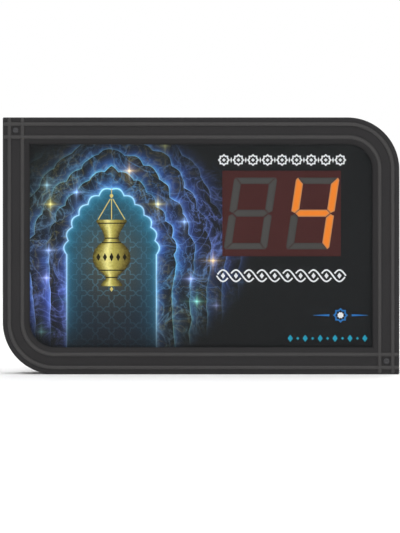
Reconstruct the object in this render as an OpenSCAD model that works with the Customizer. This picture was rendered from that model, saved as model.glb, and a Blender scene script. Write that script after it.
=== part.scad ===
// Prayer-unit counter: a framed two-digit LED display for a prayer hall.
// It stands on its flat bottom edge or hangs on two wall screws.
// Frame: X to the right, Y from front to back, Z up. The origin is on the
// resting plane, under the middle of the case.

/* [Case] */
// Overall width of the front frame
case_w = 318; // [316:1:322]
// Overall height of the front frame
case_h = 206; // [205:1:210]
// Overall depth, from the bead crests to the wall bumpers
case_d = 38; // [38:0.5:40]
// Outside radius of the two rounded corners
corner_r = 41.6; // [40:0.2:43]
// Width of the front border
border_w = 21.6; // [21:0.2:22.2]
// Thickness of the frame's border and side walls
wall_t = 2.5; // [2.3:0.1:2.7]

/* [Beads] */
// Height of the beads on the border
bead_h = 1.3; // [1.1:0.1:1.4]
// Width of the beads at their foot
bead_w = 3.2; // [3:0.1:3.4]
// Distance from the outside edge to the outer bead's line
bead_out = 5.5; // [5:0.1:5.6]
// Distance from the outside edge to the inner bead's line
bead_in = 15.9; // [15.3:0.1:16]
// Width of the slope that leads down to the opening
slope_w = 4; // [3.6:0.1:4.1]
// Depth of that slope at the opening's edge
slope_d = 1.7; // [1.4:0.1:1.8]
// Diameter of the two corner studs' heads
stud_d = 4.8; // [4:0.1:5.6]

/* [Face] */
// Thickness of the clear acrylic front
glass_t = 2.4; // [2:0.1:2.6]
// Width of the display window in the printed sheet
window_w = 95.3; // [94:0.1:96]
// Height of the display window in the printed sheet
window_h = 68.8; // [68:0.1:70]
// Window centre, to the right of the case's middle
window_x = 64.8; // [64:0.1:65.5]
// Window centre, above the resting plane
window_z = 129.1; // [128:0.1:130]

/* [Digits] */
// Height of a digit
digit_h = 57.8; // [56:0.1:58]
// Width of a digit, before it is slanted
digit_w = 34.9; // [34:0.1:35]
// Distance between the two digits
digit_pitch = 50; // [49.5:0.1:50]
// Width of the upright segments
seg_v = 6.2; // [6:0.1:6.4]
// Width of the level segments
seg_h = 5.2; // [5:0.1:5.4]
// Slant of the digits in degrees
slant = 8.4; // [6:0.1:9]

/* [Controls] */
// Height of the power inlet above the resting plane
dc_z = 44; // [42:1:46]
// Height of the sensor socket above the resting plane
jack_z = 64; // [63:1:66]
// Height of the power switch above the resting plane
switch_z = 88; // [86:1:90]
// Height of the count button above the resting plane
count_z = 112; // [110:1:113]
// Height of the reset button above the resting plane
reset_z = 132; // [131:1:134]
// Travel of the push buttons
button_travel = 1.5; // [1:0.1:1.5]
// Tilt of the power switch's rocker each way in degrees
rocker_tilt = 10; // [8:0.5:10]

/* [Wall hanging] */
// Distance between the two keyhole hangers
hanger_span = 200; // [196:1:204]
// Radius of the hole that the wall screw's head enters
keyhole_r = 4.5; // [4.3:0.1:4.7]
// Width of the slot that the wall screw's shank hangs in
keyslot_w = 4.6; // [4.2:0.1:4.8]

/* [Hidden] */
$fn = 48;
e = 0.01;

// Planes from front to back
y_face = -case_d/2 + bead_h;
y_border = y_face + wall_t;
y_glass = y_border + 0.8;
y_print = y_glass + glass_t;
y_mask = y_print + 0.4;
y_module = y_mask + 1.2;
y_board = y_module + 12;
y_board_back = y_board + 1.6;
y_bumper = case_d/2;
y_cover_out = y_bumper - 2;
y_cover = y_cover_out - 2.5;
y_ctrl_back = y_cover - 6;
y_ctrl = y_ctrl_back - 1.6;

// Edges of the display parts
sh = tan(slant);
tens_x = window_x - digit_pitch/2;
units_x = window_x + digit_pitch/2;
board_w = 114;
board_h = 88;
module_w = digit_pitch - 0.3;
module_h = 70;
standoffs = [for (i = [-1, 1], k = [-1, 1])
    [window_x + i*(board_w/2 - 4), window_z + k*(board_h/2 - 4)]];

// Control board behind the picture
ctrl_w = 100;
ctrl_h = 70;
ctrl_x = -75;
ctrl_z = 104;
spacers = [for (i = [-1, 1], k = [-1, 1])
    [ctrl_x + i*(ctrl_w/2 - 5), ctrl_z + k*(ctrl_h/2 - 5)]];

// Screw bosses inside the frame
arc_x = case_w/2 - corner_r;
arc_zt = case_h - corner_r;
boss_in = 5.9;
boss_arc = (corner_r - boss_in)*cos(45);
bosses = [[-case_w/2 + boss_in, case_h - boss_in], [0, case_h - boss_in],
    [arc_x + boss_arc, arc_zt + boss_arc], [case_w/2 - boss_in, boss_in],
    [0, boss_in], [-arc_x - boss_arc, corner_r - boss_arc]];
bumpers = [[-138, 188], [131, 178], [138, 16], [-131, 28]];

// Recess for the controls in the right-hand wall
side_x = case_w/2;
tub_x = side_x - 8.5;
tub_y0 = -8.5;
tub_y1 = 10.5;
tub_z0 = 24;
tub_z1 = 150;
tub_y = (tub_y0 + tub_y1)/2;
pivot_x = tub_x - 1.5;

// Leads inside the case, points chosen along the floor of the back cover
power_path = [[129, 1, 44], [124, 3, 45], [121, 7, 48], [113, 10.5, 52], [100, 12, 54.5], [84, 12, 55.5],
    [66, 12, 57], [38, 12, 58], [8, 12, 60], [-10, 10, 61.5], [-20, 6, 64.5], [-28, 3, 68.5],
    [-32.5, 2.2, 73], [-34.6, 2, 74.8], [-36.9, 2, 75]];
sensor_path = [[129, 1, 64], [125, 3, 63], [122, 7, 62], [115, 10.5, 62], [104, 12, 63], [88, 12, 63.5],
    [66, 12, 64], [40, 12, 65], [10, 12, 67], [-8, 10, 71], [-17, 7, 75], [-23, 4.5, 79.5], [-27.6, 3.4, 82]];
switch_path = [[129, 1, 88], [125, 3, 84], [124, 7, 78], [119, 10, 72], [108, 12, 70], [92, 12, 70.5],
    [70, 12, 71], [40, 12, 71], [12, 12, 73], [-6, 10, 77], [-17, 7, 82], [-23, 4.5, 87], [-27.6, 3.4, 90]];
button_path = [[127, 1, 122], [124.5, 4, 118], [124.5, 8, 108], [124, 10, 92], [120, 11.5, 80], [108, 12, 75.5],
    [92, 12, 76], [66, 12, 77], [40, 12, 77], [16, 12, 80], [-2, 10, 86], [-14, 7, 93], [-22, 4.5, 97], [-27.6, 3.4, 98]];

// ---------------------------------------------------------------- helpers

// A flat outline in X and Z, pushed through from y0 to y1
module slab(y0, y1) {
    translate([0, y1, 0]) rotate([90, 0, 0]) linear_extrude(y1 - y0) children();
}

// A round bar along Y
module bar_y(x, z, r, y0, y1, fn = 48) {
    translate([x, y1, z]) rotate([90, 0, 0]) cylinder(r = r, h = y1 - y0, $fn = fn);
}

// A round bar along X
module bar_x(y, z, r, x0, x1, fn = 48) {
    translate([x0, y, z]) rotate([0, 90, 0]) cylinder(r = r, h = x1 - x0, $fn = fn);
}

// A box between two corners
module block(a, b) {
    translate(a) cube([b[0] - a[0], b[1] - a[1], b[2] - a[2]]);
}

// The case's outline, drawn in by i: two square corners and two round ones
module outline(i) {
    r = corner_r - i;
    w = case_w/2 - i;
    difference() {
        translate([-w, i]) square([2*w, case_h - 2*i]);
        translate([w - r, case_h - i - r]) difference() {
            square([r + 1, r + 1]);
            circle(r, $fn = 96);
        }
        translate([r - w, i + r]) rotate(180) difference() {
            square([r + 1, r + 1]);
            circle(r, $fn = 96);
        }
    }
}

// One raised bead around the border at distance i from the outside edge.
// It follows the round corners and runs out to the edge at the square ones.
module bead_section() {
    w = bead_w/2;
    polygon([[-w, -0.6], [w, -0.6], [w, 0], [0.82*w, 0.57*bead_h], [0.4*w, bead_h],
        [-0.4*w, bead_h], [-0.82*w, 0.57*bead_h], [-w, 0]]);
}
module bead(i) {
    w = case_w/2;
    r = corner_r - i;
    translate([0, y_face, 0]) {
        translate([-w, 0, case_h - i]) rotate([180, -90, 0]) linear_extrude(w + arc_x) bead_section();
        translate([-arc_x, 0, i]) rotate([180, -90, 0]) linear_extrude(w + arc_x) bead_section();
        translate([i - w, 0, corner_r]) rotate(180) linear_extrude(case_h - corner_r) bead_section();
        translate([w - i, 0, 0]) rotate(180) linear_extrude(arc_zt) bead_section();
        translate([arc_x, 0, arc_zt]) rotate([90, 0, 0])
            rotate_extrude(angle = 90, $fn = 96) translate([r, 0]) bead_section();
        translate([-arc_x, 0, corner_r]) rotate([90, 180, 0])
            rotate_extrude(angle = 90, $fn = 96) translate([r, 0]) bead_section();
    }
}

// Cutters for the slope around the opening: along a straight edge, round an arc, and mitred into a square corner
module slope_section(s) {
    polygon([[-s, 1], [s*slope_w, 1], [s*slope_w, 0], [0, -slope_d], [-s, -slope_d]]);
}
module slope_along_x(x0, x1, z, s) {
    translate([x0, y_face, z]) rotate([180, -90, 0]) linear_extrude(x1 - x0) slope_section(s);
}
module slope_along_z(z0, z1, x, s) {
    translate([x, y_face, z0]) rotate(180) linear_extrude(z1 - z0) slope_section(s);
}
module opening_slope() {
    w = case_w/2 - border_w;
    t = case_h - border_w;
    b = border_w;
    slope_along_x(-w, arc_x, t, 1);
    slope_along_x(-arc_x, w, b, -1);
    slope_along_z(corner_r, t, -w, 1);
    slope_along_z(b, arc_zt, w, -1);
    translate([arc_x, y_face, arc_zt]) rotate([90, 0, 0])
        rotate_extrude(angle = 90, $fn = 96) translate([corner_r - b, 0]) slope_section(1);
    translate([-arc_x, y_face, corner_r]) rotate([90, 180, 0])
        rotate_extrude(angle = 90, $fn = 96) translate([corner_r - b, 0]) slope_section(1);
    intersection() {
        slope_along_x(-w - slope_w, -w, t, 1);
        slope_along_z(t, t + slope_w, -w, 1);
    }
    intersection() {
        slope_along_x(w, w + slope_w, b, -1);
        slope_along_z(b - slope_w, b, w, -1);
    }
}

// Segment outlines, before the slant: x from the digit's middle, z from its centre
xo = digit_w/2;
zo = digit_h/2;
function flip_x(p) = [for (i = [len(p) - 1:-1:0]) [-p[i][0], p[i][1]]];
function flip_z(p) = [for (i = [len(p) - 1:-1:0]) [p[i][0], -p[i][1]]];
function slanted(p) = [for (q = p) [q[0] + q[1]*sh, q[1]]];
seg_top = [[1.65 - xo, zo], [xo - 1.65, zo], [xo - seg_v - 0.28, zo - seg_h], [seg_v + 0.28 - xo, zo - seg_h]];
seg_left = [[-xo, 1.9], [-xo, zo - 1.9], [1.4 - xo, zo - 0.13], [seg_v - xo, zo - seg_h - 0.05],
    [seg_v - xo, 3.4], [3.1 - xo, 0.35]];
seg_mid = [[3.5 - xo, 0.2], [seg_v + 0.3 - xo, 3], [xo - seg_v - 0.3, 3], [xo - 3.5, 0.2],
    [xo - seg_v - 0.3, -2.6], [seg_v + 0.3 - xo, -2.6]];
// Segments in the usual order: a, b, c, d, e, f, g
segments = [seg_top, flip_x(seg_left), flip_z(flip_x(seg_left)), flip_z(seg_top),
    flip_z(seg_left), seg_left, seg_mid];
lit = [1, 2, 5, 6];
dark = [0, 3, 4];

module digit_segments(which, x) {
    translate([x, window_z]) for (s = which) polygon(slanted(segments[s]));
}

// A tube swept along points, with a level frame at every ring
function unit(v) = v/norm(v);
function heading(p, i) = unit(p[min(i + 1, len(p) - 1)] - p[max(i - 1, 0)]);
function ring(c, t, r, n) = let (a = unit(cross(t, abs(t[1]) < 0.9 ? [0, 1, 0] : [0, 0, 1])), b = cross(t, a))
    [for (k = [0:n - 1]) c + r*cos(360*k/n)*a + r*sin(360*k/n)*b];
module tube(p, r, n = 8) {
    m = len(p);
    pts = [for (i = [0:m - 1]) each ring(p[i], heading(p, i), r, n)];
    faces = concat([[for (k = [0:n - 1]) k]],
        [for (i = [0:m - 2], k = [0:n - 1]) each [
            [i*n + k, (i + 1)*n + k, i*n + (k + 1)%n],
            [i*n + (k + 1)%n, (i + 1)*n + k, (i + 1)*n + (k + 1)%n]]],
        [[for (k = [n - 1:-1:0]) (m - 1)*n + k]]);
    polyhedron(pts, faces, convexity = 6);
}
// A smooth curve through points, with s steps between neighbours
function along(p, i, t) = let (a = p[max(i - 1, 0)], b = p[i], c = p[i + 1], d = p[min(i + 2, len(p) - 1)])
    0.5*(2*b + (c - a)*t + (2*a - 5*b + 4*c - d)*t*t + (3*b - a - 3*c + d)*t*t*t);
function smooth(p, s) = concat([for (i = [0:len(p) - 2], k = [0:s - 1]) along(p, i, k/s)], [p[len(p) - 1]]);

// ---------------------------------------------------------------- case

module front_frame() {
    color("#353535") difference() {
        union() {
            slab(y_face, y_border) difference() {
                outline(0);
                outline(border_w);
            }
            slab(y_border, y_cover_out) difference() {
                outline(0);
                outline(wall_t);
            }
            bead(bead_out);
            bead(bead_in);
            for (p = bosses) bar_y(p[0], p[1], 4, y_border, y_cover);
        }
        opening_slope();
        for (p = bosses) bar_y(p[0], p[1], 1.45, y_cover - 12, y_cover + 1);
        for (s = [-1, 1]) bar_y(s*(case_w/2 - 10.5), case_h/2 - s*(case_h/2 - 10.5), 1.3, y_face - 1, y_border + 1);
        block([side_x - wall_t - 1, tub_y0 - 2, tub_z0 - 2], [side_x + 1, tub_y1 + 2, tub_z1 + 2]);
    }
}

// Pressed studs with a dished head, in the two square corners
module corner_studs() {
    color("#4a4a4a") for (s = [-1, 1])
        translate([s*(case_w/2 - 10.5), y_face, case_h/2 - s*(case_h/2 - 10.5)]) rotate([90, 0, 0])
            rotate_extrude() polygon([[0, -wall_t], [1.25, -wall_t], [1.25, 0], [stud_d/2, 0], [stud_d/2, 0.5],
                [stud_d/2 - 0.5, 1], [1.1, 1], [0.7, 0.6], [0, 0.6]]);
}

module panel_tape() {
    color("#202020") slab(y_border, y_glass) difference() {
        outline(12.5);
        outline(20.5);
    }
}

module front_glass() {
    color("#d8e4ea", 0.3) slab(y_glass, y_print) outline(12);
}

module printed_sheet() {
    color("#22304c") slab(y_print, y_mask) difference() {
        outline(12);
        translate([window_x - window_w/2, window_z - window_h/2]) square([window_w, window_h]);
    }
}

// ---------------------------------------------------------------- display

module display_mask() {
    color("#4a2c2b") slab(y_mask, y_module) difference() {
        translate([window_x - window_w/2 - 4, window_z - window_h/2 - 4]) square([window_w + 8, window_h + 8]);
        for (x = [tens_x, units_x]) digit_segments([0:6], x);
    }
}

module digit_housing(x) {
    difference() {
        slab(y_module, y_board) difference() {
            translate([x - module_w/2, window_z - module_h/2]) square([module_w, module_h]);
            digit_segments([0:6], x);
        }
        for (k = [-2:2], s = [-1, 1]) bar_y(x + k*5.08, window_z + s*32.5, 0.45, y_board - 2, y_board + 1, 24);
    }
}
module tens_housing() { color("#2a2a2a") digit_housing(tens_x); }
module units_housing() { color("#2a2a2a") digit_housing(units_x); }

module diffusers(which, x) { slab(y_mask, y_module + 5.4) digit_segments(which, x); }
module tens_segments() { color("#4a4a48") diffusers([0:6], tens_x); }
module units_lit_segments() { color("#ff8a2a") diffusers(lit, units_x); }
module units_dark_segments() { color("#4a4a48") diffusers(dark, units_x); }

// Three chips behind each segment, spread along it
seg_ends = [[[-9, zo - 2.6], [9, zo - 2.6]], [[xo - 3.1, 23], [xo - 3.1, 5.5]], [[xo - 3.1, -5.5], [xo - 3.1, -23]],
    [[-9, 2.6 - zo], [9, 2.6 - zo]], [[3.1 - xo, -5.5], [3.1 - xo, -23]], [[3.1 - xo, 23], [3.1 - xo, 5.5]], [[-8, 0], [8, 0]]];
module led_chips() {
    color("#f2e6c0") for (x = [tens_x, units_x], s = seg_ends, t = [0, 0.5, 1])
        let (q = s[0]*(1 - t) + s[1]*t)
            translate([x + q[0] + q[1]*sh, y_board - 0.4, window_z + q[1]]) cube([3, 0.8, 2], center = true);
}

// Two rows of five pins under each digit, through the board
module module_pins() {
    color("#c8c8c8") for (x = [tens_x, units_x], k = [-2:2], s = [-1, 1])
        bar_y(x + k*5.08, window_z + s*32.5, 0.4, y_board - 2, y_board + 3.2, 24);
}

module display_board() {
    color("#1f5a34") difference() {
        slab(y_board, y_board_back) translate([window_x - board_w/2, window_z - board_h/2]) square([board_w, board_h]);
        for (p = standoffs) bar_y(p[0], p[1], 1.65, y_board - 1, y_board_back + 1);
        for (x = [tens_x, units_x], k = [-2:2], s = [-1, 1])
            bar_y(x + k*5.08, window_z + s*32.5, 0.45, y_board - 1, y_board_back + 1, 24);
    }
}

// The two drivers on the board's back, with their legs
module chip(x, z, w, h, t, n, pitch) {
    block([x - w/2, y_board_back + 0.6, z - h/2], [x + w/2, y_board_back + 0.6 + t, z + h/2]);
    for (k = [0:n - 1], s = [-1, 1])
        block([x + (k - (n - 1)/2)*pitch - 0.25, y_board_back, z + s*(h/2 + 0.6) - 0.6],
            [x + (k - (n - 1)/2)*pitch + 0.25, y_board_back + 1.2, z + s*(h/2 + 0.6) + 0.6]);
}
module driver_chips() { color("#262626") for (x = [tens_x, units_x]) chip(x, window_z, 10, 5.6, 1.8, 8, 1.27); }

header_x = 24;
header_z = 113;
module display_header() {
    color("#1c1c1c") difference() {
        block([header_x - 4, y_board_back, header_z - 10], [header_x + 4, y_board_back + 6, header_z + 10]);
        block([header_x - 2.8, y_board_back + 1.5, header_z - 8.8], [header_x + 2.8, y_board_back + 7, header_z + 8.8]);
    }
}

module display_standoffs() {
    color("#b9954c") for (p = standoffs) difference() {
        bar_y(p[0], p[1], 3.2, y_board_back, y_cover, 6);
        bar_y(p[0], p[1], 1.5, y_board_back - 1, y_cover + 1);
    }
}

// A pan-head screw along Y; s = 1 has its head at the back, s = -1 at the front
module screw(x, y, z, r, len, head_r, head_h, s) {
    translate([x, y, z]) rotate([-90*s, 0, 0]) difference() {
        union() {
            translate([0, 0, -len]) cylinder(r = r, h = len);
            rotate_extrude() polygon([[0, 0], [head_r, 0], [head_r, head_h*0.45], [head_r*0.72, head_h], [0, head_h]]);
        }
        for (a = [0, 90]) rotate(a) translate([-head_r*0.55, -head_r*0.13, head_h*0.45]) cube([head_r*1.1, head_r*0.26, head_h]);
    }
}
module display_screws() { color("#c4c4c4") for (p = standoffs) screw(p[0], y_board, p[1], 1.45, 6, 2.8, 1.8, -1); }

// ---------------------------------------------------------------- control board

module control_board() {
    color("#1f5a34") difference() {
        slab(y_ctrl, y_ctrl_back) translate([ctrl_x - ctrl_w/2, ctrl_z - ctrl_h/2]) square([ctrl_w, ctrl_h]);
        for (p = spacers) bar_y(p[0], p[1], 1.65, y_ctrl - 1, y_ctrl_back + 1);
    }
}

chip_x = ctrl_x - 8;
chip_z = ctrl_z + 12;
module chip_socket() {
    color("#2b2b2b") difference() {
        block([chip_x - 18, y_ctrl - 4, chip_z - 5], [chip_x + 18, y_ctrl, chip_z + 5]);
        block([chip_x - 15, y_ctrl - 5, chip_z - 2.4], [chip_x + 15, y_ctrl + 1, chip_z + 2.4]);
    }
}
module controller_chip() {
    color("#202020") union() {
        block([chip_x - 17.5, y_ctrl - 8, chip_z - 3.4], [chip_x + 17.5, y_ctrl - 4.6, chip_z + 3.4]);
        for (k = [0:13], s = [-1, 1])
            block([chip_x + (k - 6.5)*2.5 - 0.3, y_ctrl - 6.6, chip_z + s*3.7 - 0.4],
                [chip_x + (k - 6.5)*2.5 + 0.3, y_ctrl - 4, chip_z + s*3.7 + 0.4]);
    }
}

// Can crystal with rounded ends, on its side of the chip
module crystal() {
    color("#c9ccd0") union() {
        for (s = [-1, 1]) bar_y(ctrl_x + 18 + s*3.4, chip_z, 2.2, y_ctrl - 3.6, y_ctrl - 0.4);
        block([ctrl_x + 14.6, y_ctrl - 3.6, chip_z - 2.2], [ctrl_x + 21.4, y_ctrl - 0.4, chip_z + 2.2]);
        for (s = [-1, 1]) bar_y(ctrl_x + 18 + s*2.45, chip_z, 0.3, y_ctrl - 0.6, y_ctrl, 24);
    }
}

reg_x = ctrl_x - 22;
reg_z = ctrl_z - 18;
module heat_sink() {
    color("#9fa4a8") union() {
        block([reg_x - 12, y_ctrl - 2, reg_z - 10], [reg_x + 12, y_ctrl, reg_z + 10]);
        for (k = [0:2], s = [-1, 1]) block([reg_x + s*(8 + k*2) - 0.6, y_ctrl - 11, reg_z - 10], [reg_x + s*(8 + k*2) + 0.6, y_ctrl - 2, reg_z + 10]);
    }
}
module voltage_regulator() {
    color("#2a2a2a") difference() {
        union() {
            block([reg_x - 5, y_ctrl - 3.3, reg_z - 2], [reg_x + 5, y_ctrl - 2, reg_z + 9]);
            block([reg_x - 5, y_ctrl - 6.4, reg_z - 8], [reg_x + 5, y_ctrl - 2, reg_z + 1]);
            for (k = [-1:1]) block([reg_x + k*2.54 - 0.4, y_ctrl - 4.6, reg_z - 14], [reg_x + k*2.54 + 0.4, y_ctrl - 4, reg_z - 8]);
            for (k = [-1:1]) block([reg_x + k*2.54 - 0.4, y_ctrl - 4.6, reg_z - 14.6], [reg_x + k*2.54 + 0.4, y_ctrl, reg_z - 14]);
        }
        bar_y(reg_x, reg_z + 5.5, 1.8, y_ctrl - 7, y_ctrl - 1.9);
    }
}

module filter_capacitors() {
    color("#25304f") for (k = [0, 1]) translate([ctrl_x + 6 + k*13, y_ctrl, ctrl_z - 16]) rotate([90, 0, 0])
        rotate_extrude() polygon([[0, 0], [4.6, 0], [5, 0.4], [5, 1.6], [4.7, 2], [5, 2.4], [5, 12.4], [4.6, 12.8], [0, 12.8]]);
}

ribbon_x = ctrl_x + 40;
module board_headers() {
    color("#e9e4d6") union() {
        difference() {
            block([ribbon_x - 4, y_ctrl - 6, header_z - 10], [ribbon_x + 4, y_ctrl, header_z + 10]);
            block([ribbon_x - 2.8, y_ctrl - 7, header_z - 8.8], [ribbon_x + 2.8, y_ctrl - 1.5, header_z + 8.8]);
        }
        for (z = [82, 90, 98]) block([-34, y_ctrl - 7, z - 3.3], [-28.2, y_ctrl, z + 3.3]);
        block([-43, y_ctrl - 7, 71.7], [-37.2, y_ctrl, 78.3]);
    }
}

module board_spacers() {
    color("#e4e0d2") for (p = spacers) difference() {
        bar_y(p[0], p[1], 3, y_ctrl_back, y_cover);
        bar_y(p[0], p[1], 1.55, y_ctrl_back - 1, y_cover + 1);
    }
}
module board_nuts() {
    color("#c4c4c4") for (p = spacers) difference() {
        bar_y(p[0], p[1], 3.1, y_ctrl - 2.2, y_ctrl, 6);
        bar_y(p[0], p[1], 1.5, y_ctrl - 3, y_ctrl + 1);
    }
}

// Flat ribbon from the control board round the display board's edge to its back
rib_t = 0.9;
rib = [[-35, -3.2], [-35, -5.4], [-34.6, -6.8], [-33.4, -7.8], [-26, -8], [-14, -6.6], [-5, -1], [-1, 5], [3, 10], [8, 12], [16, 12.4],
    [21, 12.4], [23, 12], [23.8, 11.2], [24, 10.2], [24, 9]];
function normal2(p, i) = let (t = unit(p[min(i + 1, len(p) - 1)] - p[max(i - 1, 0)])) [-t[1], t[0]];
module ribbon_cable() {
    q = [for (k = rib) k];
    color("#8d8f92") translate([0, 0, header_z - 6.35]) linear_extrude(12.7)
        polygon(concat([for (i = [0:len(q) - 1]) q[i] + normal2(q, i)*rib_t/2],
            [for (i = [len(q) - 1:-1:0]) q[i] - normal2(q, i)*rib_t/2]));
}
module ribbon_plugs() {
    color("#3a3a3a") union() {
        difference() {
            block([ribbon_x - 2.6, y_ctrl - 10.4, header_z - 8.6], [ribbon_x + 2.6, y_ctrl - 1.5, header_z + 8.6]);
            block([ribbon_x - 0.6, y_ctrl - 11, header_z - 6.5], [ribbon_x + 0.6, y_ctrl - 9.9, header_z + 6.5]);
        }
        difference() {
            block([header_x - 2.6, y_board_back + 1.5, header_z - 8.6], [header_x + 2.6, y_board_back + 6.8, header_z + 8.6]);
            block([header_x - 0.6, y_board_back + 5.2, header_z - 6.5], [header_x + 0.6, y_board_back + 7, header_z + 6.5]);
        }
    }
}

// ---------------------------------------------------------------- back

module stadium(z0, z1, r) {
    translate([0, z0]) circle(r);
    translate([0, z1]) circle(r);
    translate([-r, z0]) square([2*r, z1 - z0]);
}

hang_z = 160;
module back_cover() {
    color("#2e2e2e") difference() {
        slab(y_cover, y_cover_out) difference() {
            outline(wall_t + 0.2);
            for (s = [-1, 1]) translate([s*hanger_span/2, 0]) stadium(hang_z, hang_z + 13, 7);
            for (k = [0:6]) translate([-75 + (k - 3)*9, 60]) stadium(0, 26, 1.3);
            for (k = [0:6]) translate([-75 + (k - 3)*9, 118]) stadium(0, 26, 1.3);
        }
        for (p = concat(bosses, standoffs, spacers)) bar_y(p[0], p[1], 1.6, y_cover - 1, y_cover_out + 1);
        for (s = [-1, 1], z = [hang_z - 12, hang_z + 25]) bar_y(s*hanger_span/2, z, 1.55, y_cover - 1, y_cover_out + 1);
    }
}

module cover_screws() { color("#3c3c3c") for (p = bosses) screw(p[0], y_cover_out, p[1], 1.4, 12, 2.9, 1.7, 1); }
module mounting_screws() {
    color("#c4c4c4") {
        for (p = standoffs) screw(p[0], y_cover_out, p[1], 1.45, 7, 2.9, 1.7, 1);
        for (p = spacers) screw(p[0], y_cover_out, p[1], 1.45, 12.3, 2.9, 1.7, 1);
    }
}

module hanger_plates() {
    color("#b4b7ba") for (s = [-1, 1]) translate([s*hanger_span/2, 0, 0]) difference() {
        slab(y_cover - 1.2, y_cover) difference() {
            translate([-11, hang_z - 17]) square([22, 47]);
            translate([0, hang_z]) circle(keyhole_r);
            translate([-keyslot_w/2, hang_z]) square([keyslot_w, 12]);
            translate([0, hang_z + 12]) circle(keyslot_w/2);
        }
        for (z = [hang_z - 12, hang_z + 25]) bar_y(0, z, 1.55, y_cover - 3, y_cover + 1);
    }
}
module hanger_rivets() {
    color("#a9acaf") for (s = [-1, 1], z = [hang_z - 12, hang_z + 25])
        translate([s*hanger_span/2, y_cover_out, z]) rotate([-90, 0, 0]) rotate_extrude()
            polygon([[0, -5], [2.6, -5], [2.6, -3.7], [1.5, -3.7], [1.5, 0], [3.2, 0], [3, 0.6], [2.2, 1.1], [1, 1.3], [0, 1.3]]);
}
module wall_bumpers() {
    color("#1d1d1d") for (p = bumpers) translate([p[0], y_cover_out, p[1]]) rotate([-90, 0, 0])
        rotate_extrude() polygon([[0, 0], [6, 0], [6, 1], [5.4, 2], [0, 2]]);
}

// ---------------------------------------------------------------- controls

// Lined recess that carries the sockets, the switch and the buttons
module control_recess() {
    color("#303030") difference() {
        union() {
            block([tub_x - 2, tub_y0 - 1.8, tub_z0 - 1.8], [side_x, tub_y1 + 1.8, tub_z1 + 1.8]);
            block([side_x - wall_t - 2.2, tub_y0 - 3.5, tub_z0 - 4], [side_x - wall_t, tub_y1 + 3.5, tub_z1 + 4]);
        }
        block([tub_x, tub_y0, tub_z0], [side_x + 1, tub_y1, tub_z1]);
        for (z = [dc_z, count_z, reset_z]) bar_x(tub_y, z, 4.1, tub_x - 3, tub_x + 1);
        bar_x(tub_y, jack_z, 3.1, tub_x - 3, tub_x + 1);
        block([tub_x - 3, tub_y - 4.2, switch_z - 6.5], [tub_x + 1, tub_y + 4.2, switch_z + 6.5]);
    }
}

module dc_socket() {
    color("#1b1b1b") difference() {
        union() {
            bar_x(tub_y, dc_z, 4, tub_x - 3, tub_x + 3);
            bar_x(tub_y, dc_z, 5.5, tub_x - 14, tub_x - 2);
        }
        bar_x(tub_y, dc_z, 3.2, tub_x - 9.5, tub_x + 4);
        bar_x(tub_y, dc_z, 1.02, tub_x - 15, tub_x - 9);
    }
}
module dc_pin() {
    color("#cfd2d4") translate([tub_x - 19, tub_y, dc_z]) rotate([0, 90, 0]) rotate_extrude()
        polygon([[0, 0], [0.8, 0], [1, 0.4], [1, 20.2], [0.7, 20.9], [0, 21.1]]);
}
module dc_nut() {
    color("#c2c5c8") difference() {
        bar_x(tub_y, dc_z, 6.3, tub_x, tub_x + 2, 6);
        bar_x(tub_y, dc_z, 4.05, tub_x - 1, tub_x + 3);
    }
}

module sensor_socket() {
    color("#1b1b1b") difference() {
        union() {
            bar_x(tub_y, jack_z, 3, tub_x - 3, tub_x + 3);
            bar_x(tub_y, jack_z, 4.6, tub_x - 14, tub_x - 2);
            bar_x(tub_y, jack_z, 1, tub_x - 19, tub_x - 13);
        }
        bar_x(tub_y, jack_z, 1.8, tub_x - 12, tub_x + 4);
    }
}
module sensor_nut() {
    color("#c2c5c8") difference() {
        bar_x(tub_y, jack_z, 4.5, tub_x, tub_x + 1.8);
        bar_x(tub_y, jack_z, 3.05, tub_x - 1, tub_x + 3);
        for (s = [-1, 1]) block([tub_x + 1, tub_y + s*4.5 - 0.8, jack_z - 0.6], [tub_x + 3, tub_y + s*4.5 + 0.8, jack_z + 0.6]);
    }
}

module switch_housing() {
    color("#161616") difference() {
        union() {
            block([tub_x, tub_y - 5.3, switch_z - 7.7], [tub_x + 1.2, tub_y + 5.3, switch_z + 7.7]);
            block([tub_x - 13, tub_y - 4.1, switch_z - 6.4], [tub_x + e, tub_y + 4.1, switch_z + 6.4]);
        }
        block([tub_x - 10.5, tub_y - 3.4, switch_z - 5.6], [tub_x + 2, tub_y + 3.4, switch_z + 5.6]);
        translate([pivot_x, tub_y, switch_z]) rotate([90, 0, 0]) cylinder(r = 0.8, h = 12, center = true);
        for (k = [-1:1]) block([tub_x - 14, tub_y - 2.4, switch_z + k*4 - 0.4], [tub_x - 10, tub_y + 2.4, switch_z + k*4 + 0.4]);
    }
}
// Rocker with two stub pins; it stands with its upper end pressed in
module switch_rocker() {
    color("#0f0f0f") translate([pivot_x, tub_y, switch_z]) union() {
        rotate([0, -rocker_tilt, 0]) translate([0, 3.2, 0]) rotate([90, 0, 0]) linear_extrude(6.4)
            polygon([[-2.2, -4.2], [-2.2, 4.2], [2.2, 4.9], [3.3, 4.9], [3.4, 4.6], [2.7, 2], [2.5, 0], [2.7, -2], [3.4, -4.6], [3.3, -4.9], [2.2, -4.9]]);
        rotate([90, 0, 0]) cylinder(r = 0.75, h = 7.9, center = true);
    }
}
module switch_terminals() {
    color("#c9b27a") for (k = [-1:1])
        block([tub_x - 20, tub_y - 2.4, switch_z + k*4 - 0.4], [tub_x - 8.5, tub_y + 2.4, switch_z + k*4 + 0.4]);
}

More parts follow.
